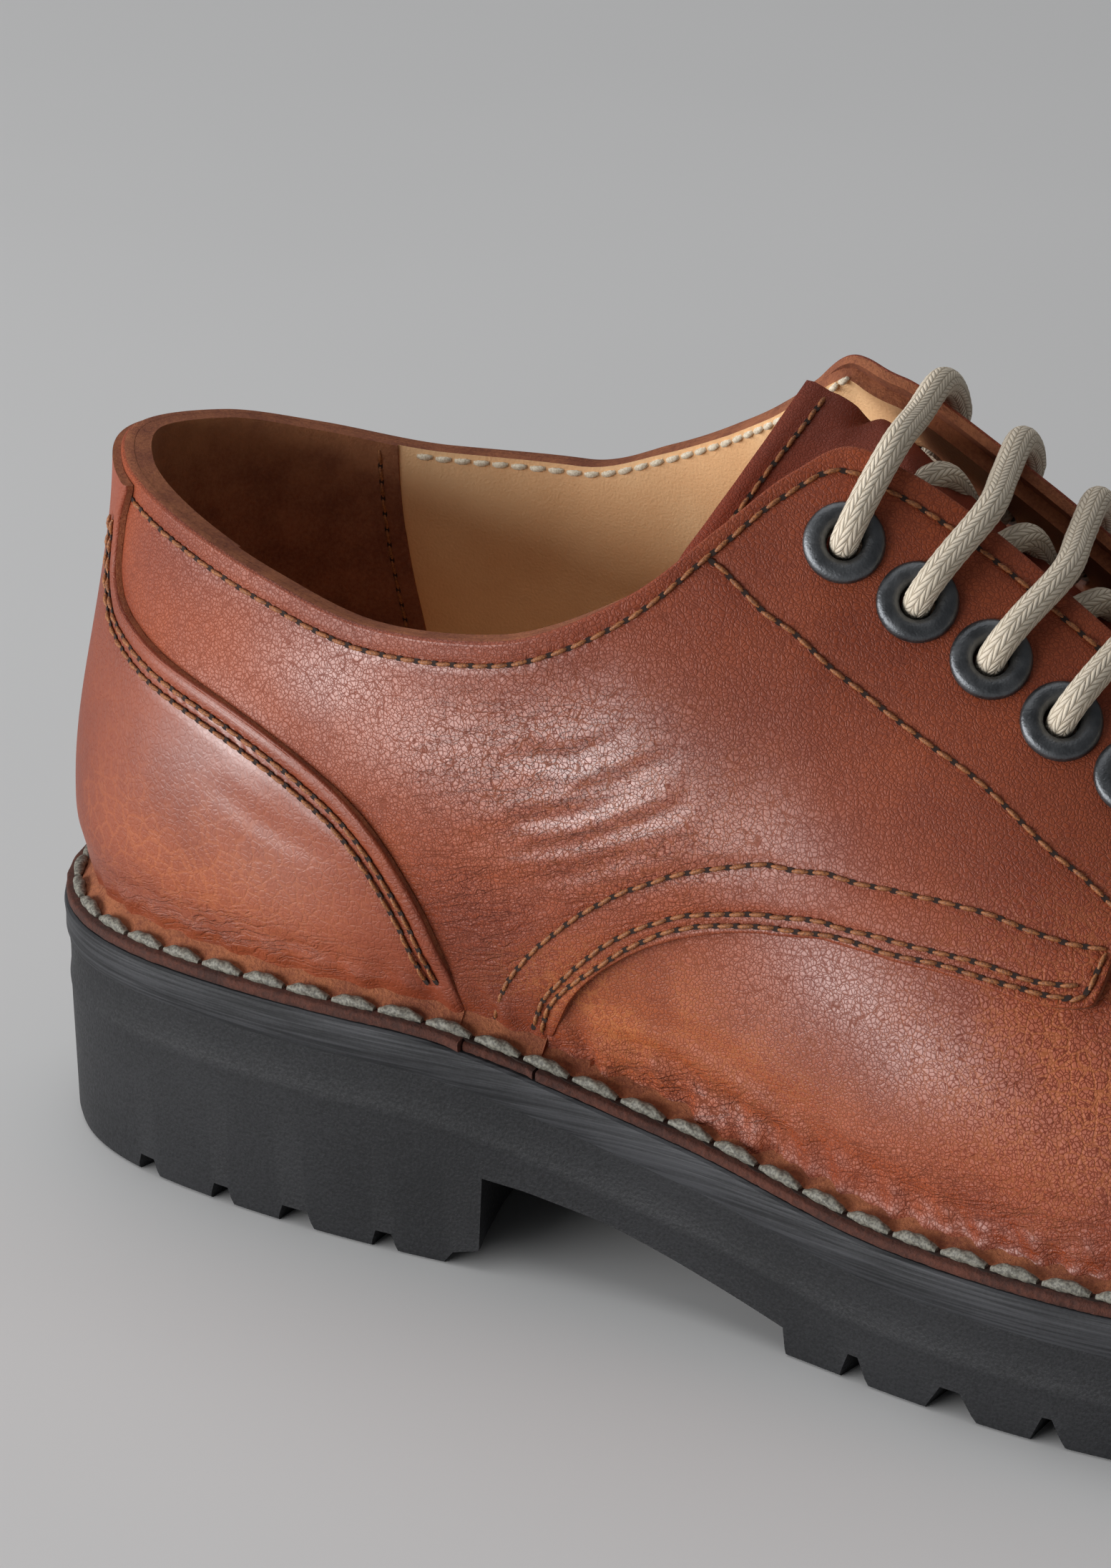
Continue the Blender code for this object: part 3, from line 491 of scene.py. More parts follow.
EYESTAY_ROW = (
    (7.06, 0.923), (7.64, 0.821), (8.45, 0.733), (9.30, 0.690), (9.97, 0.676), (10.37, 0.674), (10.83, 0.678),
    (11.42, 0.689), (12.07, 0.685), (12.82, 0.644),
)
COUNTER_ROWS = (2.5, 4.0)
COLLAR_ROW = 3.2
HEEL_LINING_END = 2.62
# From these x forward the lining is painted dark brown: the facings' brown underside, with painted shade inside
# the throat.
FACING_LINING = (114.0, 120.0)
STITCH_PITCH = 2.7
EYELET_CROWN = 1.15
STITCH_RADIUS = 0.31

# Creases: half width and depth, then the stations and heights that the crease follows.
QUARTER_CREASES = (
    (1.2, 0.16, ((5.05, 0.708), (5.32, 0.721), (5.58, 0.694), (5.90, 0.693), (6.23, 0.696))),
    (1.0, 0.23, ((5.58, 0.595), (5.79, 0.603), (6.09, 0.611), (6.47, 0.615), (6.93, 0.597))),
    (1.1, 0.31, (
        (4.65, 0.443), (4.98, 0.498), (5.30, 0.546), (5.57, 0.551), (5.87, 0.561), (6.23, 0.575), (6.70, 0.577),
    )),
    (1.1, 0.31, (
        (4.84, 0.410), (5.10, 0.460), (5.42, 0.479), (5.73, 0.494), (6.09, 0.513), (6.59, 0.523), (7.15, 0.523),
    )),
    (1.2, 0.28, ((4.42, 0.335), (4.77, 0.339), (5.14, 0.376), (5.54, 0.417), (5.94, 0.451), (6.43, 0.477))),
    (1.2, 0.18, ((4.26, 0.256), (4.70, 0.280), (5.18, 0.320), (5.52, 0.365))),
    (1.2, 0.15, ((4.34, 0.201), (4.70, 0.233), (5.01, 0.254), (5.27, 0.287))),
)
VAMP_CREASES = (
    (1.3, 0.42, ((5.51, 0.064), (6.30, 0.081), (7.38, 0.063), (8.98, 0.050))),
    (1.1, 0.30, ((6.40, 0.058), (7.39, 0.050), (9.19, 0.046), (10.2, 0.050))),
    (1.4, 0.34, ((9.27, 0.075), (10.3, 0.068), (11.1, 0.064), (12.0, 0.085))),
    (1.7, 0.22, ((6.00, 0.150), (7.17, 0.133), (8.95, 0.102), (10.3, 0.106))),
    (2.4, 0.24, ((12.9, 0.470), (13.4, 0.600), (13.9, 0.760), (14.3, 0.930))),
    (2.6, 0.28, ((13.6, 0.330), (14.1, 0.520), (14.5, 0.720), (14.8, 0.960))),
    (2.4, 0.20, ((14.4, 0.300), (14.8, 0.480), (15.1, 0.660), (15.3, 0.900))),
)
COUNTER_CREASES = (
    (1.2, 0.34, ((0.90, 0.075), (1.60, 0.082), (2.40, 0.066), (3.10, 0.060))),
    (1.1, 0.30, ((2.30, 0.100), (2.90, 0.092), (3.50, 0.072), (4.10, 0.060))),
    (1.6, 0.18, ((2.60, 0.420), (2.90, 0.380), (3.20, 0.350), (3.60, 0.330))),
)

# Zones of the hide, on both sides. Columns: x, z, reach along x, reach along z, strength.
WRINKLED_ZONES = (
    (86.0, 70.0, 20.0, 12.0, 0.9), (96.0, 62.0, 18.0, 10.0, 0.8), (78.0, 50.0, 10.0, 12.0, 0.7),
    (105.0, 29.0, 22.0, 5.0, 0.9), (38.0, 39.0, 24.0, 4.0, 0.8), (150.0, 27.0, 30.0, 6.0, 0.6),
)
TAN_ZONES = (
    (96.0, 40.0, 13.0, 8.0, 0.9), (116.0, 36.0, 14.0, 7.0, 0.45), (34.0, 47.0, 26.0, 11.0, 0.55),
    (18.0, 60.0, 12.0, 14.0, 0.15), (228.0, 42.0, 24.0, 12.0, 0.35),
)
PEBBLED_ZONES = (
    (165.0, 45.0, 26.0, 18.0, 1.0), (205.0, 50.0, 24.0, 18.0, 0.6), (48.0, 50.0, 20.0, 12.0, 0.5),
    (96.0, 68.0, 22.0, 14.0, 0.45),
)
POLISHED_ZONES = (
    (40.0, 36.5, 34.0, 4.0, 0.4), (105.0, 28.0, 26.0, 4.0, 0.25), (160.0, 22.0, 36.0, 5.0, 0.3),
    (39.0, 60.0, 11.0, 10.0, 0.9), (49.0, 52.0, 10.0, 8.0, 0.9), (60.0, 77.0, 13.0, 6.0, 0.8),
    (44.0, 86.0, 12.0, 6.0, 0.15), (77.0, 73.0, 18.0, 10.0, 1.0), (95.0, 69.0, 17.0, 11.0, 1.0),
    (110.0, 66.0, 14.0, 9.0, 0.55), (121.0, 45.0, 15.0, 9.0, 1.0),
    (133.0, 39.5, 12.0, 8.0, 0.85), (215.0, 52.0, 18.0, 9.0, 0.5),
)
# Dark zones: darker hide on the facings and along the top line behind the collar, and painted shade on the back
# of the heel and low on the quarter by the counter's edge.
DARK_AND_SHADED_ZONES = (
    (128.0, 88.0, 26.0, 15.0, 0.36), (150.0, 72.0, 22.0, 12.0, 0.40), (112.0, 98.0, 12.0, 10.0, 0.40),
    (78.0, 40.0, 8.0, 12.0, 0.70), (4.0, 58.0, 17.0, 26.0, 0.8), (60.0, 84.0, 30.0, 5.0, 0.35),
    (30.0, 88.0, 18.0, 8.0, 0.35),
)

# Turned-out edges under the welt thread: thickness, top below the foot of the wall, and how far in
# from the rubber edge the leather starts to rise. Then where the rise meets each panel.
FLANGE_THICKNESS = 1.3
FLANGE_TOP = -0.75
FLARE_INSET = 2.55
FLARE_HEIGHT = {"vamp": 0.0386, "quarter": 0.027, "counter": 0.0236}
TUCK_HEIGHT = 0.17
TUCK = {"vamp": 1.0, "quarter": 0.45, "counter": 0.35}
DEPTHS = {"vamp": 0.0, "quarter": PANEL_GAP + PANEL, "counter": PANEL_GAP + PANEL + 1.25}
WELT_PITCH = (6.5, 7.5)
WELT_RADIUS = 0.8
WELT_INSET = 2.1
SOLE_STEP = 0.38

# Depth of the tongue below the wall at each section under the facings, where the lace presses it down.
TONGUE_DEPTHS = (2.6, 5.2, 6.0, 5.8, 4.6)
TONGUE_ROW = 3.0
UNDER_LACE = 3.6
# The lace lies on the facings: its middle over the outer edge, halfway and over the inner edge, and its
# flatter bend into the inner eyelets. Columns of the bend: rise over the facing, shift towards the throat.
BAR_RISES = (1.9, 1.7, 2.0)
# The lace crosses the facing edges a little ahead of its eyelets, in stations.
BAR_CROSSINGS = {LATERAL: 0.17, MEDIAL: 0.07}
OUTER_BEND = ((-2.4, -0.2), (0.0, 0.0), (1.2, 0.35), (2.2, 1.3), (2.8, 2.9), (2.7, 5.0))
INNER_BEND = ((-2.4, 0.0), (0.0, 0.0), (1.4, 0.1), (2.6, 0.9), (3.3, 2.4), (3.2, 4.6))

# Camera, fitted to the photograph: aim, bearing, height angle, roll, distance and focal length in pixels.
AIM = (81.4, -20.0, 61.8)
BEARING, HEIGHT_ANGLE, ROLL = 26.94, 22.77, -1.66
DISTANCE = 710.0
FOCAL_PIXELS = 7874.6
FRAME_PIXELS = (1553, 2192)
SENSOR = 36.0


def to_metres(points):
    points = np.asarray(points, float).reshape(-1, 3)
    return (points - np.array([CENTRE[0], CENTRE[1], 0.0])) * 0.001


def place(piece, slot, *nodes):
    """Puts a finished piece on the shoe and hides the solids that it stands for."""
    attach(piece, "root")
    if nodes:
        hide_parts(*nodes)
    return piece


def new_piece(name, points, faces, materials, slots=None, values=None, sharp=48.0):
    """Mesh object from millimetre points, doubles merged, faces out, smooth with sharp cut edges."""
    mesh = bpy.data.meshes.new(name)
    mesh.from_pydata(to_metres(points).tolist(), [], faces)
    for material in materials:
        mesh.materials.append(material)
    if slots is not None:
        mesh.polygons.foreach_set("material_index", np.asarray(slots, np.int32))
    for key, numbers in (values or {}).items():
        layer = mesh.attributes.new(key, "FLOAT", "POINT")
        layer.data.foreach_set("value", np.asarray(numbers, np.float32))
    finish_mesh(mesh, sharp)
    piece = bpy.data.objects.new(name, mesh)
    bpy.context.scene.collection.objects.link(piece)
    return piece


def finish_mesh(mesh, sharp):
    shape = bmesh.new()
    shape.from_mesh(mesh)
    bmesh.ops.remove_doubles(shape, verts=shape.verts, dist=0.000004)
    bmesh.ops.recalc_face_normals(shape, faces=shape.faces)
    shape.to_mesh(mesh)
    shape.free()
    mesh.polygons.foreach_set("use_smooth", [True] * len(mesh.polygons))
    mesh.set_sharp_from_angle(angle=math.radians(sharp))


def made_mesh(piece):
    """Applies a piece's modifiers and leaves it a plain mesh."""
    graph = bpy.context.evaluated_depsgraph_get()
    mesh = bpy.data.meshes.new_from_object(
        piece.evaluated_get(graph), preserve_all_data_layers=True, depsgraph=graph,
    )
    piece.modifiers.clear()
    piece.data = mesh
    return piece


def sheet(name, outer, inner, materials, values=None, joined=None, sharp=48.0):
    """Closed leather sheet. Grids hold heights by columns; joined marks columns that meet at the top."""
    rows, columns = outer.shape[:2]
    low_rows = inner.shape[0]
    shift = rows * columns
    faces = []
    slots = []
    for i in range(rows - 1):
        for j in range(columns - 1):
            a = i * columns + j
            faces.append((a, a + 1, a + columns + 1, a + columns))
    slots += [0] * len(faces)
    for i in range(low_rows - 1):
        for j in range(columns - 1):
            a = shift + i * columns + j
            faces.append((a, a + columns, a + columns + 1, a + 1))
    slots += [2] * (len(faces) - len(slots))
    top, low_top = (rows - 1) * columns, shift + (low_rows - 1) * columns
    for j in range(columns - 1):
        faces.append((j, shift + j, shift + j + 1, j + 1))
        if joined is None or not (joined[j] and joined[j + 1]):
            faces.append((top + j, top + j + 1, low_top + j + 1, low_top + j))
    for j in (0, columns - 1):
        above = [i * columns + j for i in range(rows)]
        faces += strip(above, [shift + i * columns + j for i in range(low_rows)])
    slots += [1] * (len(faces) - len(slots))
    points = np.concatenate([outer.reshape(-1, 3), inner.reshape(-1, 3)])
    if values:
        values = {key: np.r_[grid.ravel(), np.zeros(low_rows * columns)] for key, grid in values.items()}
    return new_piece(name, points, faces, materials, slots, values, sharp)


def strip(first, second):
    """Triangles between two lines of vertices of different counts."""
    faces = []
    i = j = 0
    while i < len(first) - 1 or j < len(second) - 1:
        behind = i < len(first) - 1 and (i + 1) * (len(second) - 1) <= (j + 1) * (len(first) - 1)
        if j == len(second) - 1 or behind:
            faces.append((first[i], first[i + 1], second[j]))
            i += 1
        else:
            faces.append((first[i], second[j + 1], second[j]))
            j += 1
    return faces


def swept(name, sections, materials, closed=False, sharp=48.0):
    """Solid through equal closed sections, with flat ends unless it closes on itself."""
    sections = np.asarray(sections)
    count, ring = sections.shape[:2]
    faces = []
    for i in range(count if closed else count - 1):
        following = (i + 1) % count
        for k in range(ring):
            m = (k + 1) % ring
            faces.append((i * ring + k, i * ring + m, following * ring + m, following * ring + k))
    if not closed:
        faces.append(tuple(range(ring)))
        faces.append(tuple((count - 1) * ring + k for k in reversed(range(ring))))
    return new_piece(name, sections.reshape(-1, 3), faces, materials, sharp=sharp)


def along(line):
    """Stations and heights at small steps along a listed line."""
    line = np.asarray(line, float)
    order = np.arange(len(line))
    at = np.linspace(0, len(line) - 1, 12 * len(line))
    return smooth(order, line[:, 0], at), smooth(order, line[:, 1], at)


def nearest(points, samples):
    """Distance from each point to a sampled line, and how far along the line that is."""
    best = np.full(len(points), 1e9)
    where = np.zeros(len(points))
    low, high = samples.min(0) - 8, samples.max(0) + 8
    inside = np.flatnonzero(((points > low) & (points < high)).all(1))
    for chunk in np.array_split(inside, max(1, len(inside) // 20000)):
        gaps = np.linalg.norm(points[chunk, None] - samples[None], axis=2)
        where[chunk] = gaps.argmin(1) / (len(samples) - 1)
        best[chunk] = gaps.min(1)
    return best, where


def crease_relief(points, side, creases, distance):
    """Soft troughs with low ridges beside them. The inner side has the same ones, shallower."""
    lift = np.zeros(len(points))
    for width, depth, line in creases:
        station, height = along(line)
        if side == MEDIAL:
            station, height, depth = station + 0.3, height * 0.96, depth * 0.7
        gap, share = nearest(points, over_wall(side, station, height, distance))
        fade = np.sqrt(np.clip(np.sin(np.pi * share), 0, 1))
        trough = np.exp(-((gap / width) ** 2))
        ridge = np.exp(-(((gap - 1.9 * width) / width) ** 2))
        lift += depth * fade * (0.55 * ridge - trough)
    return lift


def groove_relief(points, rows, depth=0.22, width=0.75):
    lift = np.zeros(len(points))
    for row in rows:
        gap, share = nearest(points, row[::2])
        lift -= depth * np.exp(-((gap / width) ** 2))
    return lift


def rolling(points, seed, size):
    """Slow, even swelling of a hide, as a sum of a few waves."""
    random = np.random.default_rng(seed)
    lift = np.zeros(len(points))
    for wave in range(7):
        direction = random.normal(size=3)
        direction /= np.linalg.norm(direction)
        length = size * random.uniform(0.7, 1.5)
        lift += np.sin(points @ direction * math.tau / length + random.uniform(0, 6.3))
    return lift / 7


def zone(points, rows):
    found = np.zeros(len(points))
    for x, z, reach_x, reach_z, strength in rows:
        near = ((points[:, 0] - x) / reach_x) ** 2 + ((points[:, 2] - z) / reach_z) ** 2
        found = np.maximum(found, strength * np.exp(-near))
    return found


def hide_values(points, shape):
    rows = (
        ("wrinkle", WRINKLED_ZONES), ("tan", TAN_ZONES), ("pebble", PEBBLED_ZONES), ("polish", POLISHED_ZONES),
        ("dark", DARK_AND_SHADED_ZONES),
    )
    return {key: zone(points, zones).reshape(shape) for key, zones in rows}


def tucked(panel, height):
    """Distance of a panel's outer face from the wall: drawn in at the foot by the welt stitches."""
    share = np.clip(np.asarray(height) / TUCK_HEIGHT, 0, 1)
    share = share * share * (3 - 2 * share)
    return DEPTHS[panel] * (TUCK[panel] + (1 - TUCK[panel]) * share)


def pucker(side, station, height):
    """Small gathers above the welt stitches."""
    points, normals, marks = OUTLINES[side]
    edge = wall_curve(side, station)[0]
    length = np.interp(edge[..., 0], points[:, 0], marks)
    up = np.asarray(height) * 66
    gather = np.cos(math.tau * length / 7.0) + 0.5 * np.sin(math.tau * length / 4.3 + up)
    return (0.27 * gather + 0.34) * np.exp(-(((up - 2.8) / 2.6) ** 2))


def below_top(side, station, distance):
    """Height on the wall that lies a distance below the top line."""
    bends = wall_curve(side, station)
    return 1 - distance / (3 * np.linalg.norm(bends[5] - bends[4], axis=-1))


def sewn_line(side, line, distance, shift=0.0):
    """Points and normals of a seam on a panel, moved sideways by shift."""
    station, height = along(line)
    points = over_wall(side, station, height, distance)
    normals = wall_normal(side, station, height)
    forward = np.gradient(points, axis=0)
    across = np.cross(normals, forward)
    across /= np.linalg.norm(across, axis=1)[:, None]
    return points + across * shift * side, normals


def even_steps(points, normals, pitch):
    """Middle, direction and normal of each stitch along a seam."""
    marks = np.r_[0, np.cumsum(np.linalg.norm(np.diff(points, axis=0), axis=1))]
    count = max(2, int(round(marks[-1] / pitch)))
    ends = np.linspace(0, marks[-1], count + 1)
    at = np.stack([np.interp(ends, marks, points[:, k]) for k in range(3)], 1)
    middle = (ends[1:] + ends[:-1]) / 2
    mids = np.stack([np.interp(middle, marks, points[:, k]) for k in range(3)], 1)
    ups = np.stack([np.interp(middle, marks, normals[:, k]) for k in range(3)], 1)
    return mids, np.diff(at, axis=0), ups, at


# Node helpers.


def add(tree, kind, inputs=None, **settings):
    """New node with its settings, then values or links on its sockets."""
    made = tree.nodes.new(kind)
    for key, value in settings.items():
        setattr(made, key, value)
    for key, value in (inputs or {}).items():
        if isinstance(value, bpy.types.NodeSocket):
            tree.links.new(value, made.inputs[key])
        else:
            made.inputs[key].default_value = value
    return made


def blend(tree, share, first, second, kind="MIX"):
    mix = add(tree, "ShaderNodeMix", {0: share, 6: first, 7: second}, data_type="RGBA", blend_type=kind)
    return mix.outputs[2]


def sums(tree, operation, first, second=0.0, third=0.0):
    return add(tree, "ShaderNodeMath", {0: first, 1: second, 2: third}, operation=operation).outputs[0]


def band(tree, value, low, high, out_low=0.0, out_high=1.0):
    inputs = {0: value, 1: low, 2: high, 3: out_low, 4: out_high}
    return add(tree, "ShaderNodeMapRange", inputs, interpolation_type="SMOOTHSTEP").outputs[0]


def colour(red, green, blue):
    return (red, green, blue, 1.0)


def new_group(name, inputs, outputs):
    group = bpy.data.node_groups.new(name, "ShaderNodeTree")
    for label, kind, value in inputs:
        socket = group.interface.new_socket(label, in_out="INPUT", socket_type=kind)
        if value is not None:
            socket.default_value = value
    for label, kind in outputs:
        group.interface.new_socket(label, in_out="OUTPUT", socket_type=kind)
    return group, add(group, "NodeGroupInput"), add(group, "NodeGroupOutput")


def noise(tree, where, scale, detail, roughness=0.5, distortion=0.0):
    inputs = {
        "Vector": where, "Scale": scale, "Detail": detail, "Roughness": roughness, "Distortion": distortion,
    }
    return add(tree, "ShaderNodeTexNoise", inputs).outputs[0]


def grain_group():
    """Leather grain in millimetres: small cells between cracks, pores, pebbles and drawn wrinkles."""
    group, given, result = new_group(
        "leather_grain",
        [("Vector", "NodeSocketVector", None), ("Cell", "NodeSocketFloat", 0.8),
         ("Pebble", "NodeSocketFloat", 0.0), ("Wrinkle", "NodeSocketFloat", 0.0)],
        [(output, "NodeSocketFloat") for output in ("Height", "Crack", "Vein", "Mottle")],
    )
    metres = given.outputs["Vector"]
    place_mm = add(group, "ShaderNodeVectorMath", {0: metres, "Scale": 1000.0}, operation="SCALE").outputs[0]
    drift = add(group, "ShaderNodeTexNoise", {"Vector": place_mm, "Scale": 0.6, "Detail": 1.0}).outputs["Color"]
    drift = add(group, "ShaderNodeVectorMath", {0: drift, "Scale": 0.8}, operation="SCALE").outputs[0]
    bent = add(group, "ShaderNodeVectorMath", {0: place_mm, 1: drift}, operation="ADD").outputs[0]
    per_cell = sums(group, "DIVIDE", 1.0, given.outputs["Cell"])
    cells = add(group, "ShaderNodeTexVoronoi", {"Vector": bent, "Scale": per_cell}, feature="DISTANCE_TO_EDGE")
    wide = sums(group, "MULTIPLY", per_cell, 0.34)
    coarse = add(group, "ShaderNodeTexVoronoi", {"Vector": bent, "Scale": wide}, feature="DISTANCE_TO_EDGE")
    patchy = noise(group, place_mm, 0.11, 3.0)
    patchy = band(group, patchy, 0.28, 0.52)
    fine_bead = band(group, cells.outputs[0], 0.0, 0.20)
    coarse_bead = band(group, coarse.outputs[0], 0.0, 0.14)
    pores = noise(group, place_mm, 5.5, 3.0)
    slant = {0: bent, 1: (-0.16, 0.0, 0.72)}
    across = add(group, "ShaderNodeVectorMath", slant, operation="DOT_PRODUCT").outputs["Value"]
    sides = add(group, "ShaderNodeSeparateXYZ", {0: bent})
    long_x, long_y = (sums(group, "MULTIPLY", sides.outputs[k], 0.15) for k in (0, 1))
    squash = add(group, "ShaderNodeCombineXYZ", {0: long_x, 1: long_y, 2: across}).outputs[0]
    drawn = noise(group, squash, 1.0, 3.0, distortion=0.9)
    drawn = band(group, sums(group, "ABSOLUTE", sums(group, "SUBTRACT", drawn, 0.5)), 0.0, 0.10)
    height = sums(group, "MULTIPLY_ADD", pores, 0.14, sums(group, "MULTIPLY", fine_bead, 0.40))
    bold = sums(group, "MULTIPLY", coarse_bead, sums(group, "MULTIPLY_ADD", given.outputs["Pebble"], 0.60, 0.12))
    height = sums(group, "ADD", bold, height)
    folds = sums(group, "MULTIPLY", drawn, given.outputs["Wrinkle"])
    height = sums(group, "MULTIPLY_ADD", folds, 2.3, height)
    group.links.new(height, result.inputs["Height"])
    cracks = sums(group, "SUBTRACT", 1.0, band(group, cells.outputs[0], 0.01, 0.12))
    cracks = sums(group, "MULTIPLY", cracks, 0.70)
    deep = sums(group, "SUBTRACT", 1.0, band(group, coarse.outputs[0], 0.01, 0.06))
    deep = sums(group, "MULTIPLY", deep, band(group, given.outputs["Pebble"], 0.1, 0.8, 0.65, 0.2))
    group.links.new(sums(group, "MAXIMUM", cracks, deep), result.inputs["Crack"])
    veins = sums(group, "SUBTRACT", 1.0, band(group, coarse.outputs[0], 0.0, 0.12))
    group.links.new(sums(group, "MULTIPLY", veins, patchy), result.inputs["Vein"])
    clouds = noise(group, place_mm, 0.055, 5.0, roughness=0.62)
    group.links.new(band(group, clouds, 0.32, 0.68), result.inputs["Mottle"])
    return group


def new_finish(name, roughness=0.5, metallic=0.0, coat=0.0, coat_roughness=0.3):
    material = bpy.data.materials.new(name)
    material.use_nodes = True
    tree = material.node_tree
    shader = tree.nodes["Principled BSDF"]
    shader.inputs["Roughness"].default_value = roughness
    shader.inputs["Metallic"].default_value = metallic
    shader.inputs["Coat Weight"].default_value = coat
    shader.inputs["Coat Roughness"].default_value = coat_roughness
    return material, tree, shader


def bumped(tree, shader, height, distance, strength=1.0):
    bump = add(tree, "ShaderNodeBump", {"Height": height, "Distance": distance, "Strength": strength})
    tree.links.new(bump.outputs[0], shader.inputs["Normal"])


def painted(tree, key):
    return add(tree, "ShaderNodeAttribute", attribute_name=key).outputs["Fac"]


def leather_finish(
    name, grain, cell, deep, mid, tan, vein, shade, relief=0.00011, gloss=0.4, coat=0.03, crack=0.62,
):
    material, tree, shader = new_finish(name, 0.42, 0.0, coat, 0.30)
    shader.inputs["Coat IOR"].default_value = 1.8
    shader.inputs["Specular IOR Level"].default_value = gloss
    where = add(tree, "ShaderNodeTexCoord").outputs["Object"]
    hide = add(tree, "ShaderNodeGroup", node_tree=grain)
    tree.links.new(where, hide.inputs["Vector"])
    hide.inputs["Cell"].default_value = cell
    tree.links.new(painted(tree, "pebble"), hide.inputs["Pebble"])
    tree.links.new(painted(tree, "wrinkle"), hide.inputs["Wrinkle"])
    tone = blend(tree, hide.outputs["Mottle"], deep, mid)
    warm = painted(tree, "tan")
    patches = band(tree, hide.outputs["Mottle"], 0.0, 1.0, 0.45, 1.0)
    tone = blend(tree, sums(tree, "MULTIPLY", warm, patches), tone, tan)
    # The dark zones blend towards the shade colour: darker hide on the facings, painted shade on the heel's back
    # and low on the quarter.
    tone = blend(tree, sums(tree, "MULTIPLY", painted(tree, "dark"), 0.75), tone, shade)
    drawn = sums(tree, "MAXIMUM", painted(tree, "wrinkle"), painted(tree, "pebble"))
    drawn = sums(tree, "MAXIMUM", drawn, sums(tree, "MULTIPLY", painted(tree, "polish"), 0.5))
    lines = sums(tree, "MULTIPLY", hide.outputs["Crack"], sums(tree, "MULTIPLY_ADD", drawn, crack, crack))
    tone = blend(tree, lines, tone, shade)
    pebbles = sums(tree, "MULTIPLY", painted(tree, "pebble"), 0.4)
    pale = sums(tree, "MAXIMUM", sums(tree, "MULTIPLY", warm, 0.68), pebbles)
    tone = blend(tree, sums(tree, "MULTIPLY", hide.outputs["Vein"], pale), tone, vein)
    tree.links.new(tone, shader.inputs["Base Color"])
    rubbed = sums(tree, "MULTIPLY_ADD", painted(tree, "polish"), 0.88, coat)
    dull = band(tree, hide.outputs["Mottle"], 0.0, 1.0, 0.47, 0.55)
    polish = sums(tree, "MULTIPLY_ADD", painted(tree, "polish"), -0.23, dull)
    tree.links.new(sums(tree, "MULTIPLY_ADD", lines, 0.5, polish), shader.inputs["Roughness"])
    unbroken = band(tree, lines, 0.0, 0.6, 1.0, 0.1)
    tree.links.new(sums(tree, "MULTIPLY", rubbed, unbroken), shader.inputs["Coat Weight"])
    bumped(tree, shader, hide.outputs["Height"], relief)
    return material


def fibre_finish(name, dark, light, scale=1.0, roughness=0.85, relief=0.0004, wear_and_lit_top=None):
    """Raw cut leather or suede: short loose fibres of two tones."""
    material, tree, shader = new_finish(name, roughness)
    where = add(tree, "ShaderNodeTexCoord").outputs["Object"]
    nap = noise(tree, where, 1900.0 * scale, 5.0, roughness=0.7)
    patch = noise(tree, where, 160.0 * scale, 3.0)
    share = sums(tree, "MULTIPLY_ADD", nap, 0.55, sums(tree, "MULTIPLY", patch, 0.5))
    tone = blend(tree, band(tree, share, 0.34, 0.70), dark, light)
    # A top colour paints the suede lighter near the collar, where light falls: a painted highlight on the upper
    # band, the lower part left darker.
    if wear_and_lit_top:
        upper = band(tree, add(tree, "ShaderNodeSeparateXYZ", {0: where}).outputs[2], 0.072, 0.102)
        tone = blend(tree, sums(tree, "MULTIPLY", upper, band(tree, patch, 0.3, 0.7, 0.4, 1.0)), tone, wear_and_lit_top)
    tree.links.new(tone, shader.inputs["Base Color"])
    bumped(tree, shader, nap, relief)
    return material


def lining_finish(name):
    material, tree, shader = new_finish(name, 0.62)
    where = add(tree, "ShaderNodeTexCoord").outputs["Object"]
    cloud = noise(tree, where, 60.0, 4.0)
    pores = noise(tree, where, 2600.0, 2.0)
    tone = blend(tree, band(tree, cloud, 0.3, 0.7), colour(0.83, 0.48, 0.235), colour(0.93, 0.60, 0.32))
    # Ahead of FACING_LINING this finish, on the lining and on the sock, is painted dark brown: the facings'
    # brown underside, with painted shade inside the throat.
    front = add(tree, "ShaderNodeSeparateXYZ", {0: where}).outputs[0]
    start, end = ((x - CENTRE[0]) * 0.001 for x in FACING_LINING)
    tone = blend(tree, band(tree, front, start, end), tone, colour(0.17, 0.052, 0.022))
    tree.links.new(tone, shader.inputs["Base Color"])
    bumped(tree, shader, pores, 0.00012)
    return material


def rubber_finish(name, tone_low, tone_high, brushed):
    """Black rubber: fine moulded grain, or a side buffed along its length."""
    material, tree, shader = new_finish(name, 0.62)
    shader.inputs["Specular IOR Level"].default_value = 0.3
    where = add(tree, "ShaderNodeTexCoord").outputs["Object"]
    speck = noise(tree, where, 2400.0, 3.0)
    lengthwise = {0: where, 1: (60.0, 60.0, 2600.0)}
    drawn = add(tree, "ShaderNodeVectorMath", lengthwise, operation="MULTIPLY").outputs[0]
    streak = noise(tree, drawn, 1.0, 4.0)
    cloud = noise(tree, where, 45.0, 4.0)
    share = sums(tree, "MULTIPLY_ADD", streak, brushed, sums(tree, "MULTIPLY", speck, 1.0 - brushed))
    share = sums(tree, "MULTIPLY_ADD", cloud, 0.35, sums(tree, "MULTIPLY", share, 0.65))
    tree.links.new(blend(tree, band(tree, share, 0.36, 0.64), tone_low, tone_high), shader.inputs["Base Color"])
    tree.links.new(band(tree, share, 0.3, 0.7, 0.68, 0.5), shader.inputs["Roughness"])
    bumped(tree, shader, share, 0.00022, 0.7)
    return material


def thread_finish(name, dark, light, turns):
    """Twisted thread: the plies show as bands that run round it."""
    material, tree, shader = new_finish(name, 0.6)
    where = add(tree, "ShaderNodeTexCoord").outputs["Object"]
    fibre = noise(tree, where, turns, 3.0)
    tree.links.new(blend(tree, band(tree, fibre, 0.34, 0.66), dark, light), shader.inputs["Base Color"])
    bumped(tree, shader, fibre, 0.00004)
    return material


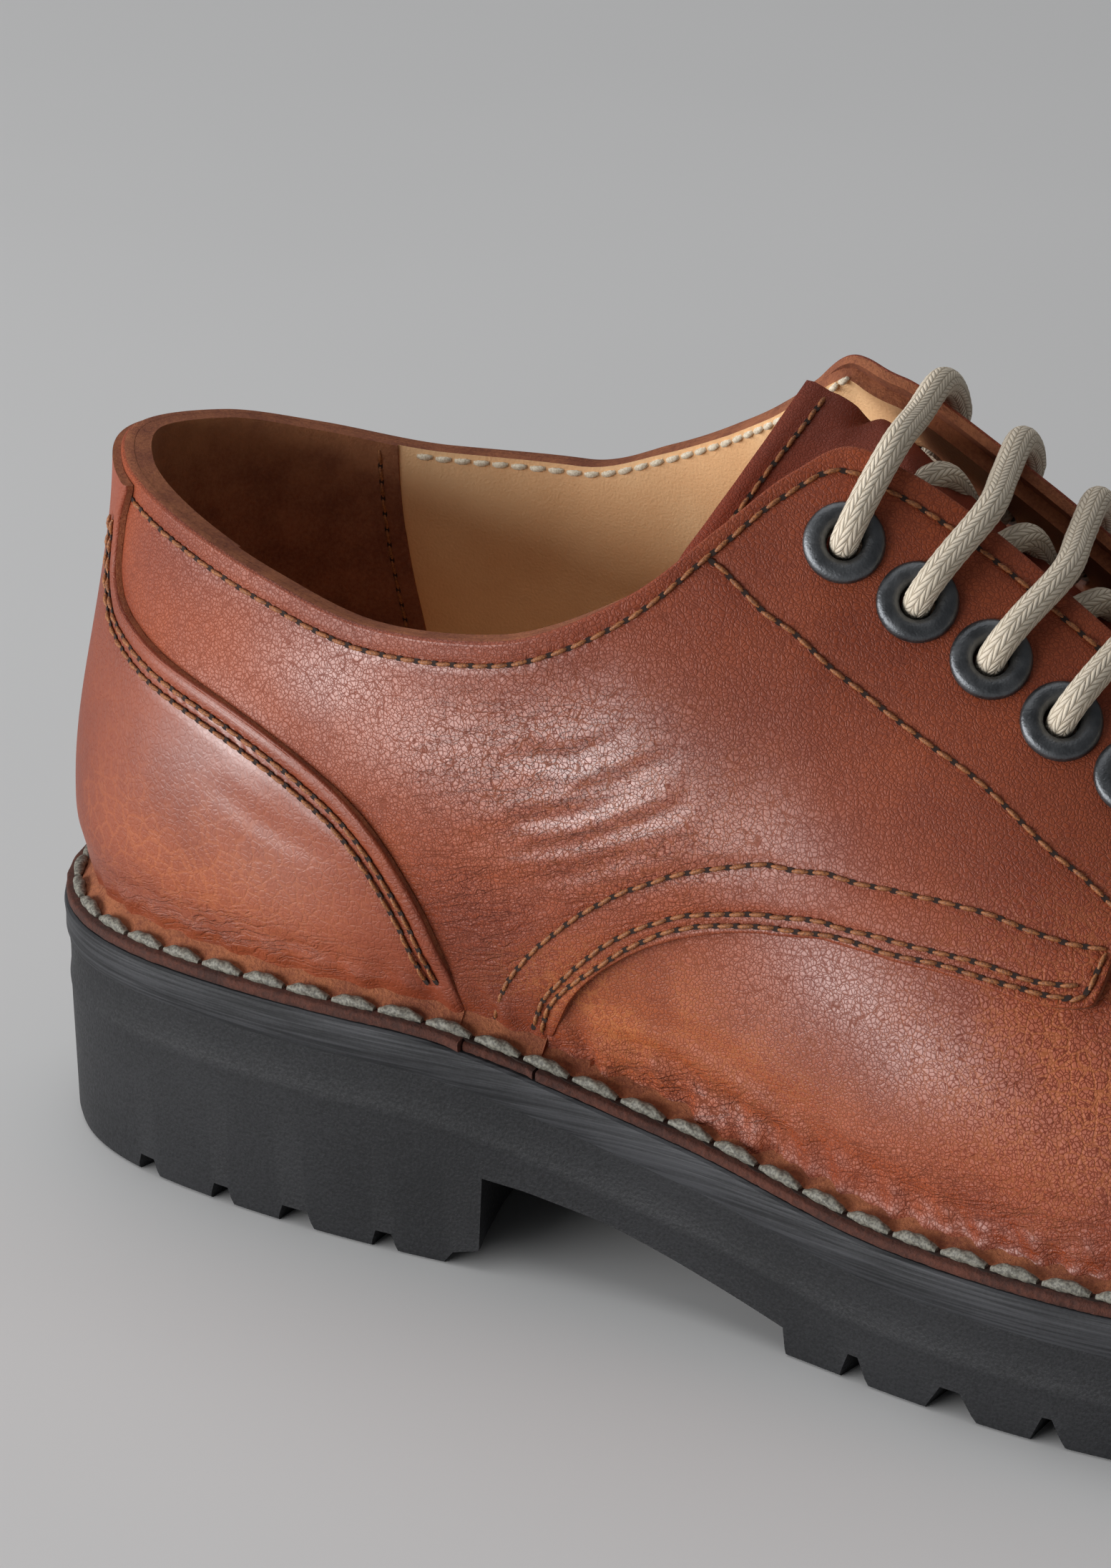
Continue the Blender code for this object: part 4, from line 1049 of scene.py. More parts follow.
def metal_finish(name):
    material, tree, shader = new_finish(name, 0.42, 0.9)
    where = add(tree, "ShaderNodeTexCoord").outputs["Object"]
    spray = noise(tree, where, 3200.0, 2.0)
    wear_and_lit_top = noise(tree, where, 420.0, 4.0)
    tone = blend(tree, band(tree, wear_and_lit_top, 0.3, 0.7), colour(0.085, 0.090, 0.097), colour(0.14, 0.147, 0.156))
    tree.links.new(tone, shader.inputs["Base Color"])
    tree.links.new(band(tree, wear_and_lit_top, 0.2, 0.8, 0.34, 0.46), shader.inputs["Roughness"])
    bumped(tree, shader, spray, 0.00005)
    return material


def cotton_finish(name):
    """Braided cotton: columns of slanting strands along the cord's own map, every other one leaning back."""
    material, tree, shader = new_finish(name, 0.9)
    shader.inputs["Specular IOR Level"].default_value = 0.2
    mapped = add(tree, "ShaderNodeUVMap", uv_map="cord").outputs[0]
    parts = add(tree, "ShaderNodeSeparateXYZ", {0: mapped})
    across = sums(tree, "MULTIPLY", parts.outputs[1], 12.0)
    share = sums(tree, "FRACT", across)
    lean = sums(tree, "MULTIPLY_ADD", sums(tree, "MODULO", sums(tree, "FLOOR", across), 2.0), -3.0, 1.5)
    lay = sums(tree, "MULTIPLY", sums(tree, "SUBTRACT", share, 0.5), lean)
    lay = sums(tree, "MULTIPLY_ADD", parts.outputs[0], 0.95, lay)
    strand = sums(tree, "ABSOLUTE", sums(tree, "SINE", sums(tree, "MULTIPLY", lay, math.pi)))
    strand = sums(tree, "POWER", strand, 0.6)
    column = sums(tree, "POWER", sums(tree, "SINE", sums(tree, "MULTIPLY", share, math.pi)), 0.45)
    strand = sums(tree, "MULTIPLY", strand, column)
    where = add(tree, "ShaderNodeTexCoord").outputs["Object"]
    fluff = noise(tree, where, 5200.0, 3.0)
    cloud = noise(tree, where, 260.0, 2.0)
    height = sums(tree, "MULTIPLY_ADD", fluff, 0.45, strand)
    # Colour follows the strands' height: painted shade in the grooves between strands and between columns,
    # lighter strand tops.
    tone = blend(tree, band(tree, height, 0.25, 0.95), colour(0.44, 0.358, 0.262), colour(0.775, 0.682, 0.552))
    tone = blend(tree, band(tree, cloud, 0.4, 0.75, 0.0, 0.25), tone, colour(0.56, 0.48, 0.36))
    tree.links.new(tone, shader.inputs["Base Color"])
    bumped(tree, shader, height, 0.00016)
    return material


def shaded_hole_finish(name):
    material, tree, shader = new_finish(name, 0.9)
    where = add(tree, "ShaderNodeTexCoord").outputs["Object"]
    nap = noise(tree, where, 2000.0, 2.0)
    # Near black: painted shade for the depth of a needle or awl hole.
    tone = blend(tree, nap, colour(0.012, 0.005, 0.003), colour(0.03, 0.012, 0.007))
    tree.links.new(tone, shader.inputs["Base Color"])
    return material


def floor_finish(name):
    material, tree, shader = new_finish(name, 0.9)
    where = add(tree, "ShaderNodeTexCoord").outputs["Object"]
    cloud = noise(tree, where, 3.0, 3.0)
    tone = blend(tree, band(tree, cloud, 0.3, 0.7), colour(0.70, 0.70, 0.70), colour(0.73, 0.73, 0.73))
    tree.links.new(tone, shader.inputs["Base Color"])
    return material


GRAIN = grain_group()
LEATHER = leather_finish(
    "cognac_leather", GRAIN, 0.54,
    colour(0.265, 0.047, 0.013), colour(0.345, 0.069, 0.019), colour(0.47, 0.125, 0.036),
    colour(0.58, 0.19, 0.055), colour(0.10, 0.014, 0.006),
)
COUNTER_LEATHER = leather_finish(
    "counter_hide", GRAIN, 0.80,
    colour(0.215, 0.041, 0.015), colour(0.28, 0.058, 0.022), colour(0.39, 0.098, 0.031),
    colour(0.48, 0.14, 0.043), colour(0.13, 0.020, 0.008), relief=0.0001, crack=0.10,
)
TONGUE_LEATHER = leather_finish(
    "tongue_hide", GRAIN, 0.45,
    colour(0.18, 0.026, 0.009), colour(0.23, 0.036, 0.012), colour(0.26, 0.05, 0.018),
    colour(0.30, 0.075, 0.03), colour(0.09, 0.017, 0.008), gloss=0.3, coat=0.0, crack=0.25,
)
CUT_EDGE = fibre_finish("cut_edge", colour(0.20, 0.050, 0.022), colour(0.44, 0.150, 0.060))
FLESH_SIDE = fibre_finish("flesh_side", colour(0.14, 0.036, 0.016), colour(0.32, 0.10, 0.040))
# The heel suede takes a lighter top: painted light on its upper band.
HEEL_SUEDE = fibre_finish(
    "heel_suede", colour(0.20, 0.060, 0.028), colour(0.38, 0.14, 0.068), wear_and_lit_top=colour(0.52, 0.24, 0.10),
)
FLANGE_EDGE = fibre_finish("flange_edge", colour(0.035, 0.010, 0.006), colour(0.105, 0.028, 0.014), 0.7)
LINING = lining_finish("natural_lining")
SIDE_RUBBER = rubber_finish("buffed_rubber", colour(0.0100, 0.0105, 0.012), colour(0.048, 0.049, 0.054), 0.85)
TREAD_RUBBER = rubber_finish(
    "moulded_rubber", colour(0.0090, 0.0094, 0.0108), colour(0.0195, 0.0200, 0.0225), 0.15,
)
WELT_THREAD = thread_finish("waxed_thread", colour(0.085, 0.080, 0.066), colour(0.235, 0.225, 0.185), 3000.0)
SEAM_THREAD = thread_finish("seam_thread", colour(0.155, 0.048, 0.015), colour(0.39, 0.142, 0.042), 4200.0)
PALE_THREAD = thread_finish("lining_thread", colour(0.60, 0.50, 0.36), colour(0.85, 0.77, 0.62), 4200.0)
SHADED_STITCH_HOLE = shaded_hole_finish("shaded_stitch_hole")
GUNMETAL = metal_finish("gunmetal_enamel")
COTTON = cotton_finish("ecru_braid")


# Rows of equal small pieces, set along a seam or a facing.


def row_tree():
    """Sets one small piece on each place, its length along the row and its top along the surface."""
    tree = bpy.data.node_groups.new("set_along_row", "GeometryNodeTree")
    for label, kind in (("Places", "Geometry"), ("Piece", "Object"), ("Size", "Float"), ("Finish", "Material")):
        tree.interface.new_socket(label, in_out="INPUT", socket_type="NodeSocket" + kind)
    tree.interface.new_socket("Row", in_out="OUTPUT", socket_type="NodeSocketGeometry")
    given, result = add(tree, "NodeGroupInput"), add(tree, "NodeGroupOutput")
    heading = add(tree, "GeometryNodeInputNamedAttribute", {"Name": "heading"}, data_type="FLOAT_VECTOR")
    facing = add(tree, "GeometryNodeInputNamedAttribute", {"Name": "facing"}, data_type="FLOAT_VECTOR")
    stretch = add(tree, "GeometryNodeInputNamedAttribute", {"Name": "stretch"}, data_type="FLOAT")
    turn = add(tree, "FunctionNodeAlignRotationToVector", {"Vector": heading.outputs[0]}, axis="X")
    turn = add(
        tree, "FunctionNodeAlignRotationToVector", {"Rotation": turn.outputs[0], "Vector": facing.outputs[0]},
        axis="Z", pivot_axis="X",
    )
    size = given.outputs["Size"]
    length = sums(tree, "MULTIPLY", size, stretch.outputs[0])
    scale = add(tree, "ShaderNodeCombineXYZ", {0: length, 1: size, 2: size})
    shape = add(tree, "GeometryNodeObjectInfo", {"Object": given.outputs["Piece"]})
    copies = add(
        tree, "GeometryNodeInstanceOnPoints",
        {"Points": given.outputs["Places"], "Instance": shape.outputs["Geometry"], "Rotation": turn.outputs[0],
         "Scale": scale.outputs[0]},
    )
    whole = add(tree, "GeometryNodeRealizeInstances", {0: copies.outputs[0]})
    dressed = {"Geometry": whole.outputs[0], "Material": given.outputs["Finish"]}
    finished = add(tree, "GeometryNodeSetMaterial", dressed)
    tree.links.new(finished.outputs[0], result.inputs[0])
    return tree


ROW_TREE = row_tree()


def set_row(name, places, headings, facings, stretch, shape, finish, size=1.0):
    """One piece made of equal shapes at the given places."""
    mesh = bpy.data.meshes.new(name)
    mesh.from_pydata(to_metres(places).tolist(), [], [])
    for key, numbers in (("heading", headings), ("facing", facings)):
        layer = mesh.attributes.new(key, "FLOAT_VECTOR", "POINT")
        layer.data.foreach_set("vector", np.asarray(numbers, np.float32).ravel())
    layer = mesh.attributes.new("stretch", "FLOAT", "POINT")
    layer.data.foreach_set("value", np.asarray(stretch, np.float32))
    piece = bpy.data.objects.new(name, mesh)
    bpy.context.scene.collection.objects.link(piece)
    row = piece.modifiers.new("row", "NODES")
    row.node_group = ROW_TREE
    for label, value in (("Piece", shape), ("Size", size), ("Finish", finish)):
        socket = next(item for item in ROW_TREE.interface.items_tree if item.name == label)
        row[socket.identifier] = value
    made_mesh(piece)
    for layer_name in ("heading", "facing", "stretch"):
        if layer_name in piece.data.attributes:
            piece.data.attributes.remove(piece.data.attributes[layer_name])
    finish_mesh(piece.data, 60)
    return piece


def pattern_shape(name, points, faces):
    """Small shape about the origin, in millimetres, kept out of the picture: rows copy it."""
    mesh = bpy.data.meshes.new(name)
    mesh.from_pydata((np.asarray(points, float) * 0.001).tolist(), [], faces)
    finish_mesh(mesh, 60)
    return bpy.data.objects.new(name, mesh)


def tube_faces(rings, sides):
    faces = []
    for i in range(rings - 1):
        for k in range(sides):
            m = (k + 1) % sides
            faces.append((i * sides + k, i * sides + m, (i + 1) * sides + m, (i + 1) * sides + k))
    faces.append(tuple(range(sides)))
    faces.append(tuple((rings - 1) * sides + k for k in range(sides)))
    return faces


def stitch_shape(name, length, radius, plies, turns, rings, sides, sink):
    """One stitch: twisted plies that dive into the hide at both ends."""
    t = np.linspace(0, 1, rings)
    angle = np.arange(sides) / sides * math.tau
    arch = np.sin(np.pi * np.clip(t, 0.02, 0.98))
    girth = radius * (0.45 + 0.55 * arch**0.6)
    twist = np.cos(plies * (angle[None] - turns * math.tau * t[:, None] / plies))
    girth = girth[:, None] * (1 + 0.10 * twist)
    x = np.broadcast_to(((t - 0.5) * length)[:, None], girth.shape)
    z = (radius * 0.75 * arch**0.5 - sink)[:, None] + girth * np.sin(angle)
    points = np.stack([x, girth * np.cos(angle), z], 2).reshape(-1, 3)
    return pattern_shape(name, points, tube_faces(rings, sides))


def hole_shape(name, radius):
    """Needle hole: a dimple with a domed floor just under the surface, its finish near black as painted shade.
    """
    angle = np.arange(10) / 10 * math.tau
    rim = np.stack([radius * 1.9 * np.cos(angle), radius * np.sin(angle), np.full(10, 0.05)], 1)
    low = rim * np.array([0.75, 0.75, 1.0]) + np.array([0, 0, -0.5])
    faces = [tuple(range(10)), tuple(range(19, 9, -1))]
    faces += [(k, (k + 1) % 10, 10 + (k + 1) % 10, 10 + k) for k in range(10)]
    return pattern_shape(name, np.concatenate([rim, low]), faces)


def eyelet_shape(name):
    """Rolled ring with a barrel through the leather."""
    roll = np.radians(np.linspace(-15, 195, 15))
    middle, half = (EYELET_HOLE + EYELET_RADIUS) / 2, (EYELET_RADIUS - EYELET_HOLE) / 2
    profile = [(EYELET_BARREL, -EYELET_DEPTH), (EYELET_BARREL, -0.1), (EYELET_RADIUS - 0.25, -0.1)]
    profile += [(middle + half * math.cos(a), 0.15 + EYELET_CROWN * max(0, math.sin(a)) ** 0.75) for a in roll]
    profile += [(EYELET_HOLE, -1.2), (EYELET_HOLE, -EYELET_DEPTH)]
    sides = 40
    angle = np.arange(sides) / sides * math.tau
    points = [(r * math.cos(a), r * math.sin(a), z) for a in angle for r, z in profile]
    count = len(profile)
    faces = []
    for i in range(sides):
        j = (i + 1) % sides
        for k in range(count):
            m = (k + 1) % count
            faces.append((i * count + k, i * count + m, j * count + m, j * count + k))
    return pattern_shape(name, points, faces)


SEAM_STITCH = stitch_shape("seam_stitch", STITCH_PITCH * 0.80, STITCH_RADIUS, 2, 3.0, 8, 6, 0.12)
NEEDLE_HOLE = hole_shape("needle_hole", 0.36)
WELT_STITCH = stitch_shape("welt_stitch", 6.4, WELT_RADIUS, 3, 2.4, 24, 14, 0.25)
EYELET = eyelet_shape("eyelet")


def sew(name, lines, finish, slot, pitch=STITCH_PITCH, size=1.0, pricked=True):
    """Stitches and needle holes of a group of seams, as two pieces."""
    runs = [even_steps(points, normals, pitch) for points, normals in lines]
    mids, steps, ups = (np.concatenate([run[k] for run in runs]) for k in range(3))
    stretch = np.linalg.norm(steps, axis=1) / pitch
    slant = np.cross(ups, steps) * 0.06
    stitches = set_row(name + "_stitches", mids, steps + slant, ups, stretch / size, SEAM_STITCH, finish, size)
    place(stitches, slot)
    if not pricked:
        return
    ends = np.concatenate([run[3][:-1] for run in runs])
    holes = set_row(name + "_needle_holes", ends, steps, ups, np.ones(len(ends)), NEEDLE_HOLE, SHADED_STITCH_HOLE, size)
    place(holes, slot)


# Upper.


def seam_line(side, line, panel, shift=0.0):
    station, height = along(line)
    return sewn_line(side, line, tucked(panel, height), shift)


def collar_line(side, start, end, inset, distance, outward=1.0):
    station = np.linspace(start, end, 260)
    height = below_top(side, station, inset)
    return over_wall(side, station, height, distance), wall_normal(side, station, height) * outward


def heel_seam(side):
    """Row that holds the heel lining down along its upright edge."""
    height = np.linspace(0.10, 0.985, 120)
    station = np.full(120, HEEL_LINING_END - 0.14)
    return over_wall(side, station, height, -WALL - 0.35), -wall_normal(side, station, height)


def quarter_seams(side):
    return [
        seam_line(side, UPPER_ROW, "quarter"),
        seam_line(side, LOWER_ROW, "quarter"),
        seam_line(side, WAVE_ROW, "quarter"),
        seam_line(side, EYESTAY_ROW, "quarter"),
        collar_line(side, 1.35, 13.2, COLLAR_ROW, DEPTHS["quarter"]),
    ]


def counter_seams(side):
    edge = [(station, height) for height, station in COUNTER_EDGE[1:-1]]
    return [seam_line(side, edge, "counter", -inset) for inset in COUNTER_ROWS]


def ease(count):
    """Steps from 0 to 1 that crowd at both ends."""
    t = np.linspace(0, 1, count)
    return t - 0.76 * np.sin(math.tau * t) / math.tau


def rounded_edge(gap, radius):
    """Drop of a surface beside its cut edge."""
    inside = np.clip(1 - gap / radius, 0, 1)
    return -radius * 0.75 * (1 - np.sqrt(1 - inside**2))


def flared(outer, side, station, lift, rows=7):
    """Adds the rows below a panel where its leather turns out to the welt thread."""
    edge, normal, foot, *rest = wall_curve(side, station)
    base = foot[..., 2] + FLANGE_TOP + lift
    start = in_space(edge - normal * FLARE_INSET, base)
    end = outer[0]
    upward = outer[2] - outer[0]
    upward /= np.linalg.norm(upward, axis=-1, keepdims=True)
    corner = end - upward * ((end[..., 2] - base) / np.maximum(upward[..., 2], 0.3))[..., None]
    t = np.linspace(0, 1, rows + 1)[:-1, None, None]
    turn = (1 - t) ** 2 * start + 2 * t * (1 - t) * corner + t * t * end
    return np.concatenate([turn, outer])


def quarter_floor(station):
    return smooth([row[0] for row in QUARTER_EDGE], [row[1] for row in QUARTER_EDGE], station) + 0.006


def make_quarter(side, label, holes):
    parts = ((0, 5.1, 150), (5.1, 6.3, 90), (6.3, 12.4, 200), (12.4, 13.3, 60))
    station = np.unique(np.round(np.concatenate([np.linspace(*part) for part in parts]), 4))
    lowest = np.maximum(quarter_floor(station), FLARE_HEIGHT["quarter"])
    height = lowest + (1 - lowest) * ease(76)[:, None]
    station2 = np.broadcast_to(station, height.shape)
    distance = tucked("quarter", height)
    flat = over_wall(side, station2, height, distance)
    points = flat.reshape(-1, 3)
    lift = crease_relief(points, side, QUARTER_CREASES, DEPTHS["quarter"])
    lift += groove_relief(points, [row[0] for row in quarter_seams(side)])
    lift += 0.22 * rolling(points, 11 if side == LATERAL else 12, 26.0)
    lift = lift.reshape(height.shape) + pucker(side, station2, height) * (station2 < 5.1)
    front = station > 5.1
    edge = flat[0, front]
    low_rows = flat[:26].reshape(-1, 3)
    gap = nearest(low_rows, edge)[0].reshape(26, -1)
    lift[:26] += np.where(station > 5.1, rounded_edge(gap, 0.5), 0)
    lift += rounded_edge((1 - height) * 75, 0.6)
    outer = over_wall(side, station2, height, distance + lift)
    straight = np.concatenate([outer[:1].repeat(7, 0), outer])
    outer = np.where(station[:, None] <= 5.1, flared(outer, side, station, -0.1), straight)
    share = np.linspace(0, 1, 9)[:, None]
    low_height = lowest + (1 - lowest) * share
    inner = over_wall(side, np.broadcast_to(station, low_height.shape), low_height, 0.08)
    values = hide_values(outer.reshape(-1, 3), outer.shape[:2])
    piece = sheet(f"quarter_{label}_leather", outer, inner, [LEATHER, CUT_EDGE, FLESH_SIDE], values)
    pierce(piece, holes)
    return place(piece, "brown_leather", f"quarter_{label}")


def make_counter():
    parts = ((FLARE_HEIGHT["counter"], 0.06, 8), (0.06, 0.55, 40), (0.55, 0.82, 46), (0.82, 0.988, 24))
    height = np.unique(np.round(np.concatenate([np.linspace(*part) for part in parts]), 5))
    edge = smooth([row[0] for row in COUNTER_EDGE], [row[1] for row in COUNTER_EDGE], height)
    reach = np.sin(np.linspace(-1, 1, 151) * math.pi / 2)
    columns = []
    for side in (MEDIAL, LATERAL):
        share = -reach[reach < 0] if side == MEDIAL else reach[reach >= 0]
        station = edge[:, None] * share
        tall = np.broadcast_to(height[:, None], station.shape)
        distance = tucked("counter", tall)
        flat = over_wall(side, station, tall, distance)
        points = flat.reshape(-1, 3)
        lift = crease_relief(points, side, COUNTER_CREASES, DEPTHS["counter"])
        lift += groove_relief(points, [row[0] for row in counter_seams(side)], 0.28)
        lift += 0.16 * rolling(points, 21, 22.0)
        gap = nearest(points, flat[:, 0 if side == MEDIAL else -1])[0]
        lift += rounded_edge(gap, 0.55) + 0.10 * np.exp(-(((gap - 1.3) / 0.8) ** 2))
        lift = lift.reshape(tall.shape) + pucker(side, station, tall)
        outer = over_wall(side, station, tall, distance + lift)
        outer = flared(outer, side, station[0], 0.12)
        inner = over_wall(side, station, tall, tucked("quarter", tall) + 0.1)
        columns.append((outer, inner))
    outer = np.concatenate([part[0] for part in columns], axis=1)
    inner = np.concatenate([part[1] for part in columns], axis=1)
    inner = inner[np.r_[0:len(height) - 1:4, len(height) - 1]]
    values = hide_values(outer.reshape(-1, 3), outer.shape[:2])
    piece = sheet("heel_counter_leather", outer, inner, [COUNTER_LEATHER, CUT_EDGE, FLESH_SIDE], values)
    return place(piece, "counter_leather", "heel_counter")


def vamp_top(station):
    top = np.minimum(1, quarter_floor(station) + 0.09)
    return np.where(station > 13.3, 1.0, top)


def both_sides(start, steps):
    """Stations once round the toe, lateral then medial, from start to start."""
    station = np.concatenate([np.linspace(*step) for step in steps])
    station = np.unique(np.round(station[station >= start], 4))
    return [(LATERAL, station), (MEDIAL, station[::-1])]


def make_vamp():
    steps = ((4.9, 6.3, 60), (6.3, 13, 150), (13, 14, 50), (14, 19, 150))
    share = ease(64)[:, None]
    low_share = np.linspace(0, 1, 9)[:, None]
    outers, inners, marks = [], [], []
    for side, station in both_sides(4.9, steps):
        top = vamp_top(station)
        lowest = FLARE_HEIGHT["vamp"]
        height = lowest + (top - lowest) * share
        station2 = np.broadcast_to(station, height.shape)
        points = wall(side, station2, height).reshape(-1, 3)
        lift = crease_relief(points, side, VAMP_CREASES, 0.0)
        lift += 0.26 * rolling(points, 31, 30.0)
        lift = lift.reshape(height.shape) + pucker(side, station2, height)
        lift = lift + np.where(station < 14, rounded_edge((top - height) * 70, 0.6), 0)
        ridge = np.where(station >= VAMP_POINT, np.clip((1 - height) / 0.04, 0, 1), 1)
        outers.append(flared(over_wall(side, station2, height, lift * ridge), side, station, 0.0))
        low_height = 0.02 + (top - 0.02) * low_share
        inners.append(over_wall(side, np.broadcast_to(station, low_height.shape), low_height, -0.9))
        marks.append(station >= VAMP_POINT)
    close_ridge(inners, marks)
    outer, inner = np.concatenate(outers, 1), np.concatenate(inners, 1)
    values = hide_values(outer.reshape(-1, 3), outer.shape[:2])
    joined = np.concatenate(marks)
    piece = sheet("vamp_leather", outer, inner, [LEATHER, CUT_EDGE, FLESH_SIDE], values, joined)
    return place(piece, "brown_leather", "upper")


def close_ridge(grids, marks):
    """Brings the two sides' inner faces together along the ridge."""
    first, second = grids[0][-1], grids[1][-1, ::-1]
    middle = (first + second) / 2
    grids[0][-1] = np.where(marks[0][:, None], middle, first)
    grids[1][-1] = np.where(marks[0][:, None], middle, second)[::-1]


def make_linings(holes):
    steps = ((2.5, 9, 56), (9, 13, 60), (13, 14, 30), (14, 19, 40))
    share = np.linspace(0, 1, 26)[:, None]
    outers, inners, marks = [], [], []
    for side, station in both_sides(2.5, steps):
        set_down = 2.2 * np.clip((station - 8.4) / 1.0, 0, 1) * (station < 13.4)
        top = np.where(station < 13.4, below_top(side, station, set_down), 1.0)
        height = 0.012 + (top - 0.012) * share
        station2 = np.broadcast_to(station, height.shape)
        under_quarter = (height > quarter_floor(station) + 0.11) & (station < 13.3)
        under_quarter = under_quarter | (station < 4.85)
        outers.append(over_wall(side, station2, height, np.where(under_quarter, 0.03, -0.95)))
        inners.append(over_wall(side, station2, height, -WALL + 0.12 * rounded_lift(height)))
        marks.append(station >= VAMP_POINT)
    close_ridge(outers, marks)
    close_ridge(inners, marks)
    piece = sheet(
        "quarter_lining", np.concatenate(inners, 1), np.concatenate(outers, 1)[[0, 5, 10, 15, 20, 25]],
        [LINING, CUT_EDGE, FLESH_SIDE], joined=np.concatenate(marks),
    )
    pierce(piece, holes)
    place(piece, "natural_leather")
    station = np.linspace(0, HEEL_LINING_END, 40)
    height = np.broadcast_to(0.012 + 0.988 * share, (26, 40))
    grids = []
    for distance in (0.03, -WALL - 0.35):
        stations = np.broadcast_to(station, height.shape)
        halves = [over_wall(side, stations, height, distance) for side in (MEDIAL, LATERAL)]
        grids.append(np.concatenate([halves[0][:, ::-1], halves[1][:, 1:]], 1))
    heel = sheet("heel_lining", grids[1], grids[0][[0, 5, 10, 15, 20, 25]], [HEEL_SUEDE, CUT_EDGE, HEEL_SUEDE])
    place(heel, "natural_leather")


def rounded_lift(height):
    return np.exp(-(((1 - height) / 0.03) ** 2))


def pierce(piece, holes):
    """Cuts the eyelet holes through a sheet."""
    cut = piece.modifiers.new("holes", "BOOLEAN")
    cut.operation = "DIFFERENCE"
    cut.solver = "MANIFOLD"
    cut.operand_type = "COLLECTION"
    cut.collection = holes
    made_mesh(piece)


def hole_cutters():
    """Cylinders on the eyelets' axes, in one collection for each side and one for both."""
    kept = {}
    for key in (LATERAL, MEDIAL, "both"):
        kept[key] = bpy.data.collections.new(f"eyelet_holes_{key}")
        bpy.context.scene.collection.children.link(kept[key])
    angle = np.arange(24) / 24 * math.tau
    for side, place_at, normal in eyelet_places():
        first = np.cross(normal, (1.0, 0.0, 0.0))
        first /= np.linalg.norm(first)
        second = np.cross(normal, first)
        ring = (np.cos(angle)[:, None] * first + np.sin(angle)[:, None] * second) * (EYELET_BARREL + 0.06)
        points = np.concatenate([place_at + ring - normal * 8, place_at + ring + normal * 6])
        mesh = bpy.data.meshes.new("hole")
        mesh.from_pydata(to_metres(points).tolist(), [], tube_faces(2, 24))
        finish_mesh(mesh, 40)
        cutter = bpy.data.objects.new("hole", mesh)
        kept[side].objects.link(cutter)
        kept["both"].objects.link(cutter)
    return kept


def drop_cutters(kept):
    for collection in kept.values():
        for cutter in list(collection.objects):
            bpy.data.objects.remove(cutter, do_unlink=True)
        bpy.data.collections.remove(collection)


def eyelet_places():
    found = []
    for number, outer_station, outer_height, inner_station, inner_height in EYELETS:
        pair = ((LATERAL, outer_station, outer_height), (MEDIAL, inner_station, inner_height))
        for side, station, height in pair:
            at = over_wall(side, np.array([station]), np.array([height]), DEPTHS["quarter"])[0]
            found.append((side, at, wall_normal(side, np.array([station]), np.array([height]))[0]))
    return found


def make_eyelets():
    for side, label in ((LATERAL, "lateral"), (MEDIAL, "medial")):
        rows = [(at, normal) for row_side, at, normal in eyelet_places() if row_side == side]
        places = np.array([row[0] for row in rows])
        facings = np.array([row[1] for row in rows])
        ahead = np.gradient(places, axis=0)
        rings = set_row(f"eyelets_{label}", places, ahead, facings, np.ones(5), EYELET, GUNMETAL)
        place(rings, "gunmetal", *[f"eyelet_{label}_{number}" for number in range(1, 6)])


# Stitched-down edges and their thread.


def flange_section(side, station, set_back, lift):
    """Closed section of a turned-out edge, as points for each station."""
    edge, normal, foot, *rest = wall_curve(side, station)
    base = foot[..., 2] + FLANGE_TOP + lift
    low = -FLANGE_THICKNESS - lift
    profile = np.array([
        (set_back + 0.25, low), (set_back + 0.05, low + 0.2), (set_back, -0.7), (set_back + 0.04, -0.3),
        (set_back + 0.16, -0.08), (set_back + 0.4, 0.0), (1.6, 0.03),
        (FLARE_INSET + 0.1, 0.0), (4.2, -0.1), (4.2, low),
    ])
    random = np.random.default_rng(5)
    rough = np.cumsum(random.normal(size=(len(station),)))
    rough = 0.05 * (rough - np.convolve(rough, np.ones(9) / 9, mode="same"))
    insets = profile[None, :, 0] + rough[:, None] * (profile[None, :, 0] < set_back + 0.6)
    plan = edge[:, None] - normal[:, None] * insets[..., None]
    return np.concatenate([plan, (base[:, None] + profile[None, :, 1])[..., None]], -1)


def make_flanges():
    heel = np.linspace(0, 4.44, 130)
    sections = np.concatenate(
        [flange_section(MEDIAL, heel[::-1], 0.35, 0.12)[:-1], flange_section(LATERAL, heel, 0.35, 0.12)]
    )
    place(swept("counter_flange", sections, [FLANGE_EDGE]), "counter_leather")
    for side, label in ((LATERAL, "lateral"), (MEDIAL, "medial")):
        sections = flange_section(side, np.linspace(4.46, 5.11, 40), 0.6, -0.1)
        place(swept(f"quarter_flange_{label}", sections, [FLANGE_EDGE]), "brown_leather")
    front = np.concatenate([np.linspace(5.14, 14, 220), np.linspace(14, TOE_TIP, 160)[1:]])
    sections = np.concatenate(
        [flange_section(LATERAL, front, 0.3, 0.0), flange_section(MEDIAL, front[::-1], 0.3, 0.0)[1:]]
    )
    place(swept("vamp_flange", sections, [FLANGE_EDGE]), "brown_leather")


def welt_line(side):
    """Line of the welt thread on one side, from the heel's back to the toe."""
    station = np.concatenate([np.linspace(0, 14, 700), np.linspace(14, TOE_TIP, 400)[1:]])
    edge, normal, foot, *rest = wall_curve(side, station)
    return in_space(edge - normal * WELT_INSET, foot[..., 2] + FLANGE_TOP + 0.30)


